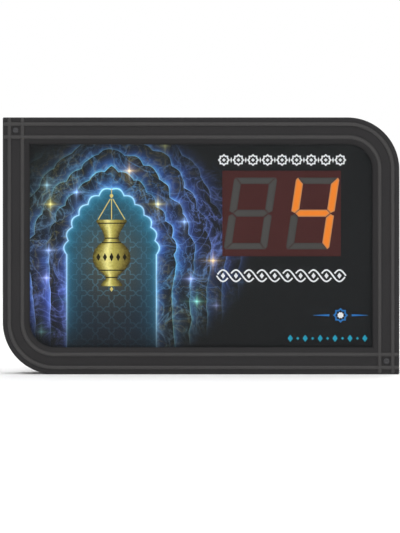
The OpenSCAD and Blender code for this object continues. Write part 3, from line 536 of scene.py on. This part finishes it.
# ------------------------------------------------------------------ mesh helpers
def new_object(name, bm, mats, body="case", smooth=None):
    me = bpy.data.meshes.new(name)
    bm.normal_update()
    bm.to_mesh(me)
    bm.free()
    if smooth is not None:
        me.shade_smooth()
        me.set_sharp_from_angle(angle=math.radians(smooth))
    ob = bpy.data.objects.new(name, me)
    SCENE.collection.objects.link(ob)
    for m in (mats if isinstance(mats, (list, tuple)) else [mats]):
        me.materials.append(m)
    if body:
        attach(ob, body)
    return ob


def weighted(ob):
    m = ob.modifiers.new("even_normals", "WEIGHTED_NORMAL")
    m.weight = 50
    m.keep_sharp = True
    return ob


def soften(node, width, segments=2, angle=32.0):
    """Takes the razor edge off a CAD part: joins its facets, then rounds its sharp edges."""
    ob = N[node] if isinstance(node, str) else node
    w = ob.modifiers.new("join", "WELD")
    w.merge_threshold = 0.000002
    d = ob.modifiers.new("flat_faces", "DECIMATE")
    d.decimate_type = "DISSOLVE"
    d.angle_limit = math.radians(1.2)
    b = ob.modifiers.new("edges", "BEVEL")
    b.width = width * MM
    b.segments = segments
    b.limit_method = "ANGLE"
    b.angle_limit = math.radians(angle)
    b.use_clamp_overlap = True
    b.miter_outer = "MITER_ARC"
    weighted(ob)
    return ob


def arc_points(cx, cz, r, a0, a1, n):
    return [(cx + r * math.cos(math.radians(a0 + (a1 - a0) * i / n)), cz + r * math.sin(math.radians(a0 + (a1 - a0) * i / n)))
            for i in range(n + 1)]


def case_outline(u, n=28, n_small=5, small=1.1):
    """The case's outline drawn in by u: the same number of points at every u."""
    pts = []
    w = W / 2
    pts += arc_points(AX, AZ, R - u, 0, 90, n)                         # rounded, upper right
    k = max(small - u, 0.0)
    o = max(u, small)
    pts += arc_points(-w + o, H - o, k, 90, 180, n_small)              # square, upper left
    pts += arc_points(-AX, R, R - u, 180, 270, n)                      # rounded, lower left
    pts += arc_points(w - o, o, k, 270, 360, n_small)                  # square, lower right
    return pts


def sweep_case(profile):
    """A closed section (u, y) carried round the case's outline."""
    bm = bmesh.new()
    rows = []
    for u, y in profile:
        rows.append([bm.verts.new((x * MM, y * MM, z * MM)) for x, z in case_outline(u)])
    n, m = len(rows), len(rows[0])
    for i in range(n):
        for j in range(m):
            a, b = rows[i], rows[(i + 1) % n]
            bm.faces.new((a[j], a[(j + 1) % m], b[(j + 1) % m], b[j]))
    bmesh.ops.remove_doubles(bm, verts=bm.verts, dist=1e-7)
    bmesh.ops.dissolve_degenerate(bm, edges=bm.edges, dist=1e-7)
    bmesh.ops.recalc_face_normals(bm, faces=bm.faces)
    return bm


def bead_strip(path, r, h, sink, n=12):
    """A half-round bead along a path of (x, z), sunk a little into the border, with rounded ends."""
    length = [0.0]
    for a, b in zip(path, path[1:]):
        length.append(length[-1] + math.dist(a, b))
    total = length[-1]

    def at(s):
        for i in range(len(path) - 1):
            if s <= length[i + 1] or i == len(path) - 2:
                t = (s - length[i]) / (length[i + 1] - length[i])
                p, q = path[i], path[i + 1]
                return (p[0] + (q[0] - p[0]) * t, p[1] + (q[1] - p[1]) * t)

    nose = [0.0, 0.06, 0.2, 0.45, 0.75, 1.0]
    stations = [(s * r, math.sqrt(max(1 - (1 - s) ** 2, 0.02))) for s in nose]
    stations += [(s, 1.0) for s in length[1:-1] if r * 1.01 < s < total - r * 1.01]
    stations += [(total - s * r, math.sqrt(max(1 - (1 - s) ** 2, 0.02))) for s in reversed(nose)]
    bm = bmesh.new()
    rings = []
    for s, k in stations:
        p = at(s)
        a, b = at(max(s - 0.4, 0)), at(min(s + 0.4, total))
        # the tangent at a path point is the mean of both sides
        tx, tz = b[0] - a[0], b[1] - a[1]
        L = math.hypot(tx, tz)
        nx, nz = -tz / L, tx / L
        ring = []
        for i in range(n + 1):
            th = math.pi * i / n
            off, up = r * k * math.cos(th), h * k * math.sin(th)
            ring.append(bm.verts.new(((p[0] + nx * off) * MM, (Y_FACE + 0.05 - up * (h + 0.05) / h) * MM, (p[1] + nz * off) * MM)))
        for sgn in (-1, 1):
            ring.append(bm.verts.new(((p[0] + nx * r * k * sgn) * MM, (Y_FACE + sink) * MM, (p[1] + nz * r * k * sgn) * MM)))
        rings.append(ring)
    m = len(rings[0])
    for a, b in zip(rings, rings[1:]):
        for j in range(m):
            bm.faces.new((a[j], a[(j + 1) % m], b[(j + 1) % m], b[j]))
    bm.faces.new(rings[0])
    bm.faces.new(list(reversed(rings[-1])))
    bmesh.ops.recalc_face_normals(bm, faces=bm.faces)
    return bm


def plain_mesh(name, bm):
    me = bpy.data.meshes.new(name)
    bm.to_mesh(me)
    bm.free()
    ob = bpy.data.objects.new(name, me)
    SCENE.collection.objects.link(ob)
    return ob


def cylinder_y(x, z, r, y0, y1, n=40):
    bm = bmesh.new()
    a = [bm.verts.new(((x + r * math.cos(2 * math.pi * i / n)) * MM, y0 * MM, (z + r * math.sin(2 * math.pi * i / n)) * MM)) for i in range(n)]
    b = [bm.verts.new((v.co.x, y1 * MM, v.co.z)) for v in a]
    for i in range(n):
        bm.faces.new((a[i], a[(i + 1) % n], b[(i + 1) % n], b[i]))
    bm.faces.new(a)
    bm.faces.new(list(reversed(b)))
    bmesh.ops.recalc_face_normals(bm, faces=bm.faces)
    return bm


def cut_join(base, joins, cuts):
    """Joins solids to base and cuts others from it, then keeps the result as base's own mesh."""
    for label, obs, op in (("joins", joins, "UNION"), ("cuts", cuts, "DIFFERENCE")):
        for i, ob in enumerate(obs):
            m = base.modifiers.new(label + str(i), "BOOLEAN")
            m.operation = op
            m.solver = "MANIFOLD"
            m.object = ob
    dg = bpy.context.evaluated_depsgraph_get()
    me = bpy.data.meshes.new_from_object(base.evaluated_get(dg))
    base.modifiers.clear()
    bm = bmesh.new()
    bm.from_mesh(me)
    bmesh.ops.remove_doubles(bm, verts=bm.verts, dist=5e-7)
    bm.to_mesh(me)
    bm.free()
    old = base.data
    base.data = me
    bpy.data.meshes.remove(old)
    for ob in joins + cuts:
        data = ob.data
        bpy.data.objects.remove(ob)
        bpy.data.meshes.remove(data)
    return base


# ------------------------------------------------------------------ front frame
def round_corner(cx, cy, r, a0, a1, n):
    return [(cx + r * math.cos(math.radians(a0 + (a1 - a0) * i / n)), cy + r * math.sin(math.radians(a0 + (a1 - a0) * i / n)))
            for i in range(n + 1)]


section = []
section += round_corner(0.8, Y_BACK - 0.8, 0.8, 90, 180, 4)                       # rear outer edge
section += round_corner(1.3, Y_FACE + 1.3, 1.3, 180, 270, 6)                      # front outer edge
# the slope to the opening starts and ends in soft bends
section += [(BORDER - SLOPE_W - 0.15, Y_FACE), (BORDER - SLOPE_W + 0.45, Y_FACE + 0.1), (BORDER - 1.7, Y_FACE + 0.92), (BORDER - 0.75, Y_FACE + 1.36),
            (BORDER - 0.28, Y_FACE + 1.64), (BORDER - 0.06, Y_FACE + 1.92), (BORDER, Y_FACE + 2.2)]
section += [(BORDER, Y_BORDER), (2.5, Y_BORDER), (2.5, Y_BACK - 0.3), (2.2, Y_BACK)]
frame_ob = plain_mesh("frame_moulding", sweep_case(section))
strips = []
for i, u in enumerate(BEADS):
    e = 0.55
    over = [(-W / 2 + e, H - u)] + [(AX - 40, H - u)] + arc_points(AX, AZ, R - u, 90, 0, 36) + [(W / 2 - u, 60), (W / 2 - u, e)]
    under = [(-W / 2 + u, H - e), (-W / 2 + u, 120)] + arc_points(-AX, R, R - u, 180, 270, 36) + [(0, u), (W / 2 - e, u)]
    # the four strips differ by hundredths, so that no two of their faces coincide where they cross
    strips += [plain_mesh("bead", bead_strip(over, BEAD_HW, BEAD_H - 0.005 * i, 0.8 + 0.07 * i)),
               plain_mesh("bead", bead_strip(under, BEAD_HW + 0.01, BEAD_H - 0.02 - 0.005 * i, 1.0 + 0.07 * i))]
boss_in = 5.9
ba = (R - boss_in) * math.cos(math.radians(45))
boss_at = [(-W / 2 + boss_in, H - boss_in), (0, H - boss_in), (AX + ba, AZ + ba), (W / 2 - boss_in, boss_in), (0, boss_in), (-AX - ba, R - ba)]
joins = strips + [plain_mesh("boss", cylinder_y(x, z, 4.0, Y_BORDER - 0.6, 14.5)) for x, z in boss_at]
cuts = [plain_mesh("pilot", cylinder_y(x, z, 1.45, 2.5, 15.5, 24)) for x, z in boss_at]
cuts += [plain_mesh("stud_hole", cylinder_y(s * (W / 2 - 10.5), H / 2 - s * (H / 2 - 10.5), 1.3, -20, -14, 24)) for s in (-1, 1)]
bm = bmesh.new()
bmesh.ops.create_cube(bm, size=1.0, matrix=Matrix.Translation((0.1585, 0.001, 0.087)) @ Matrix.Diagonal((0.006, 0.023, 0.130, 1)))
cuts.append(plain_mesh("recess_hole", bm))
cut_join(frame_ob, joins, cuts)
frame_ob.data.materials.clear()
frame_ob.data.materials.append(MAT["frame"])
frame_ob.data.shade_smooth()
frame_ob.data.set_sharp_from_angle(angle=math.radians(34))
weighted(frame_ob)
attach(frame_ob, "case")
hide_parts("front_frame")


# ------------------------------------------------------------------ printed sheet and its ornaments
sheet = bpy.data.objects.new("print_sheet", N["printed_sheet"].data.copy())
SCENE.collection.objects.link(sheet)
for v in sheet.data.vertices:
    if v.co.y < -0.0118:
        v.co.y = -0.01195
sheet.data.materials.append(MAT["card"])
for f in sheet.data.polygons:
    f.material_index = 1 if f.normal.y > 0.5 else 0
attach(sheet, "case")
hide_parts("printed_sheet")

INK_FRONT, INK_BACK = -11.968, -11.952


def prisms(bm, polys, mat_index=0, y0=INK_FRONT, y1=INK_BACK):
    """Thin printed shapes: each polygon of (x, z) becomes a closed layer of ink."""
    for poly in polys:
        a = [bm.verts.new((x * MM, y0 * MM, z * MM)) for x, z in poly]
        b = [bm.verts.new((x * MM, y1 * MM, z * MM)) for x, z in poly]
        n = len(poly)
        faces = [bm.faces.new(a), bm.faces.new(list(reversed(b)))]
        for i in range(n):
            faces.append(bm.faces.new((a[(i + 1) % n], a[i], b[i], b[(i + 1) % n])))
        for f in faces:
            f.material_index = mat_index


def star8(cx, cz, ro, turn=0.0, inner=0.7654):
    return [(cx + (ro if i % 2 == 0 else ro * inner) * math.sin(math.radians(turn + 22.5 * i)),
             cz + (ro if i % 2 == 0 else ro * inner) * math.cos(math.radians(turn + 22.5 * i))) for i in range(16)]


def diamond(cx, cz, w, h):
    return [(cx, cz + h), (cx + w, cz), (cx, cz - h), (cx - w, cz)]


def ring_prism(bm, outer, inner, mat_index=0, y0=INK_FRONT, y1=INK_BACK):
    """A printed ring between two outlines with the same number of points."""
    n = len(outer)
    of, ob, nf, nb = [[bm.verts.new((x * MM, y * MM, z * MM)) for x, z in p] for p, y in ((outer, y0), (outer, y1), (inner, y0), (inner, y1))]
    for i in range(n):
        j = (i + 1) % n
        for q in ((of[i], of[j], nf[j], nf[i]), (ob[j], ob[i], nb[i], nb[j]), (of[j], of[i], ob[i], ob[j]), (nf[i], nf[j], nb[j], nb[i])):
            bm.faces.new(q).material_index = mat_index


def ribbon(pts, w):
    """A flat ribbon of width w along points, as quads with shared mitres."""
    left, right = [], []
    for i, p in enumerate(pts):
        a, b = pts[max(i - 1, 0)], pts[min(i + 1, len(pts) - 1)]
        tx, tz = b[0] - a[0], b[1] - a[1]
        L = math.hypot(tx, tz)
        nx, nz = -tz / L * w / 2, tx / L * w / 2
        left.append((p[0] + nx, p[1] + nz))
        right.append((p[0] - nx, p[1] - nz))
    return [left + list(reversed(right))]


bm = bmesh.new()
# upper band: eight-pointed stars with diamonds between them
n_star = 9
for i in range(n_star):
    cx = 65.2 + (i - (n_star - 1) / 2) * 11.7
    ring_prism(bm, star8(cx, 172.1, 4.9), star8(cx, 172.1, 3.3), 0)
    prisms(bm, [diamond(cx, 172.1, 1.5, 1.5)], 0)
    if i < n_star - 1:
        prisms(bm, [diamond(cx + 5.85, 172.1, 0.75, 2.4)], 0)
# lower band: two interlaced waves with lozenges in their eyes; each wave passes over at every other crossing
x0, x1, per, ampl, zc = 12.5, 116.5, 20.8, 4.6, 79.0
cross = per / 2
n_cross = round((x1 - x0) / cross)
for ph, first in ((0.0, 0), (math.pi, 1)):
    ends = [x0 + (0.75 if first == 0 else 0.0)]
    for i in range(1, n_cross):
        if i % 2 == first:
            ends += [x0 + i * cross - 1.35, x0 + i * cross + 1.35]
    ends.append(x1 - (0.75 if n_cross % 2 == first else 0.0))
    for a, b in zip(ends[::2], ends[1::2]):
        m = max(8, int((b - a) / 0.6))
        xs = [a + (b - a) * i / m for i in range(m + 1)]
        prisms(bm, ribbon([(x, zc + ampl * math.sin(2 * math.pi * (x - x0) / per + ph)) for x in xs], 1.2), 0)
for i in range(10):
    prisms(bm, [diamond(x0 + per * (i / 2 + 0.25), zc, 1.7, 2.4)], 0)
# lower right: a small blue star between tapering lines, and a row of cyan lozenges
ring_prism(bm, star8(112.2, 47.2, 6.0), star8(112.2, 47.2, 4.3), 2)
prisms(bm, [star8(112.2, 47.2, 2.7, 22.5)], 0)
for s in (-1, 1):
    prisms(bm, [[(112.2 + s * 9, 48.0), (112.2 + s * 9, 46.4), (112.2 + s * 22, 47.1), (112.2 + s * 22, 47.3)][::s]], 2)
for i in range(11):
    cx = 101.8 + (i - 5) * 6.0
    big = i % 2 == 0
    prisms(bm, [diamond(cx, 28.6, 2.1 if big else 1.2, 2.9 if big else 1.2)], 1)
bmesh.ops.recalc_face_normals(bm, faces=bm.faces)
inks = new_object("print_ornament", bm, [MAT["white_ink"], MAT["cyan_ink"], MAT["blue_ink"]])

# hanging lamp in the niche, printed in gold
LX, LZ = -72.0, 97.0
lamp = [(27.0, 12.0), (25.6, 12.4), (22.0, 10.0), (17.0, 7.0), (12.5, 5.6), (10.0, 6.4), (7.0, 10.2), (3.0, 13.6), (-2.0, 15.4),
        (-7.0, 15.0), (-12.0, 12.0), (-16.0, 7.6), (-18.6, 5.0), (-20.4, 4.6), (-22.4, 6.6), (-25.0, 8.6), (-26.4, 8.8)]
fine = []
for (za, ra), (zb, rb) in zip(lamp, lamp[1:]):
    for i in range(3):
        k = i / 3
        fine.append((za + (zb - za) * k, ra + (rb - ra) * k))
fine.append(lamp[-1])
bm = bmesh.new()
across = bm.verts.layers.float.new("across")
cols = 12
front, back = [], []
for dz, r in fine:
    for rows, y in ((front, INK_FRONT), (back, INK_BACK)):
        row = []
        for j in range(cols + 1):
            q = -1 + 2 * j / cols
            v = bm.verts.new(((LX + r * q) * MM, y * MM, (LZ + dz) * MM))
            v[across] = 0.5 + 0.5 * q
            row.append(v)
        rows.append(row)
for rows, flip in ((front, False), (back, True)):
    for a, b in zip(rows, rows[1:]):
        for j in range(cols):
            q = (a[j], b[j], b[j + 1], a[j + 1])
            bm.faces.new(q if not flip else q[::-1])
for j in range(cols):
    bm.faces.new((front[0][j], front[0][j + 1], back[0][j + 1], back[0][j]))
    bm.faces.new((front[-1][j + 1], front[-1][j], back[-1][j], back[-1][j + 1]))
for i in range(len(front) - 1):
    bm.faces.new((front[i + 1][0], front[i][0], back[i][0], back[i + 1][0]))
    bm.faces.new((front[i][-1], front[i + 1][-1], back[i + 1][-1], back[i][-1]))
bmesh.ops.recalc_face_normals(bm, faces=bm.faces)
lamp_ob = new_object("print_lamp", bm, MAT["gold_ink"])

bm = bmesh.new()
D0, D1 = INK_FRONT - 0.016, INK_FRONT - 0.002
for dz, r in ((24.2, 10.9), (12.2, 5.3), (8.6, 7.6), (-13.6, 10.0), (-19.4, 4.5)):
    prisms(bm, [[(LX - r, LZ + dz + 0.45), (LX + r, LZ + dz + 0.45), (LX + r, LZ + dz - 0.45), (LX - r, LZ + dz - 0.45)]], 0, D0, D1)
for i in range(-2, 3):
    prisms(bm, [diamond(LX + i * 5.3, LZ - 3.0, 1.7, 3.6 - abs(i) * 0.3)], 0, D0, D1)
# chains and the rod that the lamp hangs on
for s in (-1, 0, 1):
    prisms(bm, ribbon([(LX + s * 10.8, LZ + 27.2), (LX + s * 1.0, LZ + 43.8)], 0.7), 1)
prisms(bm, [diamond(LX, LZ + 46.3, 1.6, 2.2)], 1)
prisms(bm, ribbon([(LX, LZ + 48.7), (LX, LZ + 52.0)], 0.7), 1)
prisms(bm, [diamond(LX, LZ - 28.8, 1.5, 2.0)], 1)
bmesh.ops.recalc_face_normals(bm, faces=bm.faces)
lamp_lines = new_object("print_lamp_lines", bm, [MAT["dark_ink"], ink("pale_gold_ink", lin(206, 192, 112))])


# ------------------------------------------------------------------ digit segments
DW, DH, SV, SH, SLANT = 34.9, 57.8, 6.2, 5.2, math.tan(math.radians(8.4))
xo, zo = DW / 2, DH / 2
s_top = [(1.65 - xo, zo), (xo - 1.65, zo), (xo - SV - 0.28, zo - SH), (SV + 0.28 - xo, zo - SH)]
s_left = [(-xo, 1.9), (-xo, zo - 1.9), (1.4 - xo, zo - 0.13), (SV - xo, zo - SH - 0.05), (SV - xo, 3.4), (3.1 - xo, 0.35)]
s_mid = [(3.5 - xo, 0.2), (SV + 0.3 - xo, 3), (xo - SV - 0.3, 3), (xo - 3.5, 0.2), (xo - SV - 0.3, -2.6), (SV + 0.3 - xo, -2.6)]


def flip_x(p):
    return [(-a, b) for a, b in reversed(p)]


def flip_z(p):
    return [(a, -b) for a, b in reversed(p)]


SEGS = [s_top, flip_x(s_left), flip_z(flip_x(s_left)), flip_z(s_top), flip_z(s_left), s_left, s_mid]


def inset_poly(poly, d):
    """A convex outline, drawn in by d on every side."""
    n = len(poly)
    area = sum(poly[i][0] * poly[(i + 1) % n][1] - poly[(i + 1) % n][0] * poly[i][1] for i in range(n))
    sg = 1 if area > 0 else -1
    lines = []
    for i in range(n):
        a, b = poly[i], poly[(i + 1) % n]
        tx, tz = b[0] - a[0], b[1] - a[1]
        L = math.hypot(tx, tz)
        nx, nz = -tz / L * sg, tx / L * sg
        lines.append((a[0] + nx * d, a[1] + nz * d, tx, tz))
    out = []
    for i in range(n):
        x1, z1, ax, az = lines[i - 1]
        x2, z2, bx, bz = lines[i]
        det = ax * bz - az * bx
        if abs(det) < 1e-9:
            out.append((x2, z2))
            continue
        t = ((x2 - x1) * bz - (z2 - z1) * bx) / det
        out.append((x1 + ax * t, z1 + az * t))
    return out


def rounded(poly, r, n=4):
    """A convex outline with its corners rounded off, n + 1 points to a corner."""
    out = []
    m = len(poly)
    for i in range(m):
        p, a, b = Vector(poly[i]), Vector(poly[i - 1]), Vector(poly[(i + 1) % m])
        ta, tb = (a - p).normalized(), (b - p).normalized()
        half_angle = ta.angle(tb) / 2
        cut = min(r / math.tan(half_angle), 0.45 * min((a - p).length, (b - p).length))
        q0, q1 = p + ta * cut, p + tb * cut
        for j in range(n + 1):
            k = j / n
            q = q0 * (1 - k) ** 2 + p * (2 * k * (1 - k)) + q1 * k ** 2
            out.append((q.x, q.y))
    return out


def segment_mesh(name, which, x, mat, node, rim=0.12):
    """Cast diffusers: a flat face with a soft rim, and a body that runs down into its well."""
    bm = bmesh.new()
    core = bm.verts.layers.float.new("core")
    for s in which:
        poly = [(a + b * SLANT, b) for a, b in SEGS[s]]
        loops = []
        for d, y, c in ((0.0, -5.0, 0.0), (0.0, Y_MASK + rim, 0.0), (rim, Y_MASK + rim / 6, 0.03), (0.45, Y_MASK, 0.18), (0.85, Y_MASK, 0.6), (1.4, Y_MASK, 1.0)):
            ring = []
            for px, pz in rounded(inset_poly(poly, d) if d else poly, max(0.3 - d, 0.1)):
                v = bm.verts.new(((x + px) * MM, y * MM, (WIN_Z + pz) * MM))
                v[core] = c
                ring.append(v)
            loops.append(ring)
        n = len(loops[0])
        for a, b in zip(loops, loops[1:]):
            for i in range(n):
                bm.faces.new((a[i], a[(i + 1) % n], b[(i + 1) % n], b[i]))
        bm.faces.new(loops[0])
        bm.faces.new(loops[-1])
    bmesh.ops.recalc_face_normals(bm, faces=bm.faces)
    ob = new_object(name, bm, mat)
    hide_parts(node)
    return ob


TENS_X, UNITS_X = WIN_X - 25.0, WIN_X + 25.0
segment_mesh("tens_diffusers", range(7), TENS_X, MAT["dark"], "tens_segments", 0.04)
segment_mesh("units_lit_diffusers", (1, 2, 5, 6), UNITS_X, MAT["lit"], "units_lit_segments")
segment_mesh("units_dark_diffusers", (0, 3, 4), UNITS_X, MAT["dark"], "units_dark_segments", 0.04)


# ------------------------------------------------------------------ softened edges on CAD parts
for n, w in (("back_cover", 0.35), ("control_recess", 0.5), ("switch_housing", 0.3), ("switch_rocker", 0.35), ("dc_nut", 0.2),
             ("sensor_nut", 0.15), ("hanger_plates", 0.15), ("corner_studs", 0.12), ("dc_socket", 0.2), ("sensor_socket", 0.2),
             ("wall_bumpers", 0.25), ("count_button", 0.15), ("reset_button", 0.15), ("dc_pin", 0.1)):
    soften(n, w)


# ------------------------------------------------------------------ on and off marks, printed on the rocker
bm = bmesh.new()
tilt = Matrix.Translation((149.0, TUB_Y, 88.0)) @ Matrix.Rotation(math.radians(-10.0), 4, "Y")


def on_rocker(s, pts):
    """Points (y, along) on the upper (s = 1) or lower face of the rocker, as front and back vertices."""
    base, way = Vector((3.05, 0, 3.3 * s)), Vector((0.7, 0, 2.6 * s)).normalized()
    out = Vector((2.6, 0, -0.7 * s)).normalized()
    return [[bm.verts.new((tilt @ (base + way * a + Vector((0, y, 0)) + out * d)) * MM) for y, a in pts] for d in (0.02, -0.02)]


def close_layer(front, back):
    n = len(front)
    bm.faces.new(front)
    bm.faces.new(back[::-1])
    for i in range(n):
        bm.faces.new((front[(i + 1) % n], front[i], back[i], back[(i + 1) % n]))


close_layer(*on_rocker(1, [(-0.22, -0.85), (0.22, -0.85), (0.22, 0.85), (-0.22, 0.85)]))
circ = [(math.cos(2 * math.pi * i / 32), math.sin(2 * math.pi * i / 32)) for i in range(32)]
(of, ob_), (nf, nb) = on_rocker(-1, [(0.95 * a, 0.95 * b) for a, b in circ]), on_rocker(-1, [(0.62 * a, 0.62 * b) for a, b in circ])
for i in range(32):
    j = (i + 1) % 32
    for q in ((of[i], of[j], nf[j], nf[i]), (ob_[j], ob_[i], nb[i], nb[j]), (of[j], of[i], ob_[i], ob_[j]), (nf[i], nf[j], nb[j], nb[i])):
        bm.faces.new(q)
bmesh.ops.recalc_face_normals(bm, faces=bm.faces)
marks = new_object("rocker_marks", bm, MAT["mark_ink"], body="power_rocker")


# ------------------------------------------------------------------ coil springs
for key, zc in (("count", 112.0), ("reset", 132.0)):
    bm = bmesh.new()
    turns, per_turn, sides, rc, rw = 5, 24, 8, 2.4, 0.25
    rings = []
    total = turns * per_turn
    for i in range(total + 1):
        a = 2 * math.pi * i / per_turn
        px = TUB_X - 12.7 + 6.4 * i / total
        c = Vector((px, TUB_Y + rc * math.cos(a), zc + rc * math.sin(a)))
        tang = Vector((6.4 / total * per_turn / (2 * math.pi), -rc * math.sin(a), rc * math.cos(a))).normalized()
        out = Vector((0, math.cos(a), math.sin(a)))
        side = tang.cross(out).normalized()
        rings.append([bm.verts.new((c + rw * (math.cos(2 * math.pi * j / sides) * out + math.sin(2 * math.pi * j / sides) * side)) * MM)
                      for j in range(sides)])
    for a, b in zip(rings, rings[1:]):
        for j in range(sides):
            bm.faces.new((a[j], a[(j + 1) % sides], b[(j + 1) % sides], b[j]))
    bm.faces.new(rings[0])
    bm.faces.new(list(reversed(rings[-1])))
    bmesh.ops.recalc_face_normals(bm, faces=bm.faces)
    coil = new_object(key + "_coil", bm, MAT["spring"], smooth=60)
    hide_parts(key + "_spring")
    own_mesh(coil)


# ------------------------------------------------------------------ floor and light
bm = bmesh.new()
bmesh.ops.create_grid(bm, x_segments=2, y_segments=2, size=4.0)
floor = plain_mesh("floor", bm)
t = Tree("floor_pale")
fl = t.noise(0.004, 3.0, 0.5)
t.bsdf(Base_Color=t.mix(fl, (0.92, 0.92, 0.92, 1), (0.95, 0.95, 0.95, 1)), Roughness=0.85, Specular_IOR_Level=0.1)
floor.data.materials.append(t.mat)
floor.visible_glossy = False


def sun(name, azimuth, elevation, strength, angle):
    """A wide soft light from a compass direction: azimuth 0 is in front, 90 is on the right."""
    d = bpy.data.lights.new(name, "SUN")
    d.energy = strength
    d.angle = math.radians(angle)
    o = bpy.data.objects.new(name, d)
    a, e = math.radians(azimuth), math.radians(elevation)
    way = Vector((math.sin(a) * math.cos(e), -math.cos(a) * math.cos(e), math.sin(e)))
    o.location = way * 2.0
    o.rotation_euler = (-way).to_track_quat("-Z", "Y").to_euler()
    SCENE.collection.objects.link(o)
    return o


def reach(light, ob, state):
    """The light leaves this object out, or reaches nothing else."""
    light.light_linking.receiver_collection = bpy.data.collections.new(light.name + "_reach")
    light.light_linking.receiver_collection.objects.link(ob)
    light.light_linking.receiver_collection.collection_objects[0].light_linking.link_state = state


key, fill, top = sun("key", -42, 46, 0.52, 60), sun("fill", 50, 40, 0.44, 60), sun("top", 0, 86, 0.55, 70)
sun("rear", 155, 16, 1.0, 36)
# broad light from the front, with no mirror image of itself in the clear sheet
front = sun("front", 0, 7, 1.2, 6)
front.visible_glossy = False
# the print lies behind the frame's lip: a lamp beside the lens lights it in place of these, so that the lip throws no dark line on it
lens_data = bpy.data.lights.new("lens_lamp", "POINT")
lens_data.energy = 46.0
lens_data.shadow_soft_size = 0.03
lens_lamp = bpy.data.objects.new("lens_lamp", lens_data)
lens_lamp.location = cam.location
lens_lamp.visible_glossy = False
SCENE.collection.objects.link(lens_lamp)
reach(lens_lamp, sheet, "INCLUDE")
for light in (key, fill, top, front):
    reach(light, sheet, "EXCLUDE")
# the floor has a light of its own, so that it stays pale beside a dark case; the rim light leaves it out
reach(sun("floor_light", 0, 86, 1.65, 70), floor, "INCLUDE")
reach(sun("rim", 180, 58, 0.9, 30), floor, "EXCLUDE")

world = bpy.data.worlds.new("studio")
SCENE.world = world
world.use_nodes = True
wt = world.node_tree
wt.nodes.clear()
wo = wt.nodes.new("ShaderNodeOutputWorld")
seen = wt.nodes.new("ShaderNodeBackground")
seen.inputs[0].default_value = (1, 1, 1, 1)
seen.inputs[1].default_value = 1.0
lit = wt.nodes.new("ShaderNodeBackground")
lit.inputs[0].default_value = (1, 1, 1, 1)
lit.inputs[1].default_value = 0.22
path = wt.nodes.new("ShaderNodeLightPath")
mx = wt.nodes.new("ShaderNodeMixShader")
wt.links.new(path.outputs["Is Camera Ray"], mx.inputs[0])
wt.links.new(lit.outputs[0], mx.inputs[1])
wt.links.new(seen.outputs[0], mx.inputs[2])
wt.links.new(mx.outputs[0], wo.inputs[0])
SCENE.view_settings.view_transform = "Standard"
SCENE.view_settings.look = "None"
SCENE.view_settings.exposure = 0.0
SCENE.view_settings.gamma = 1.0
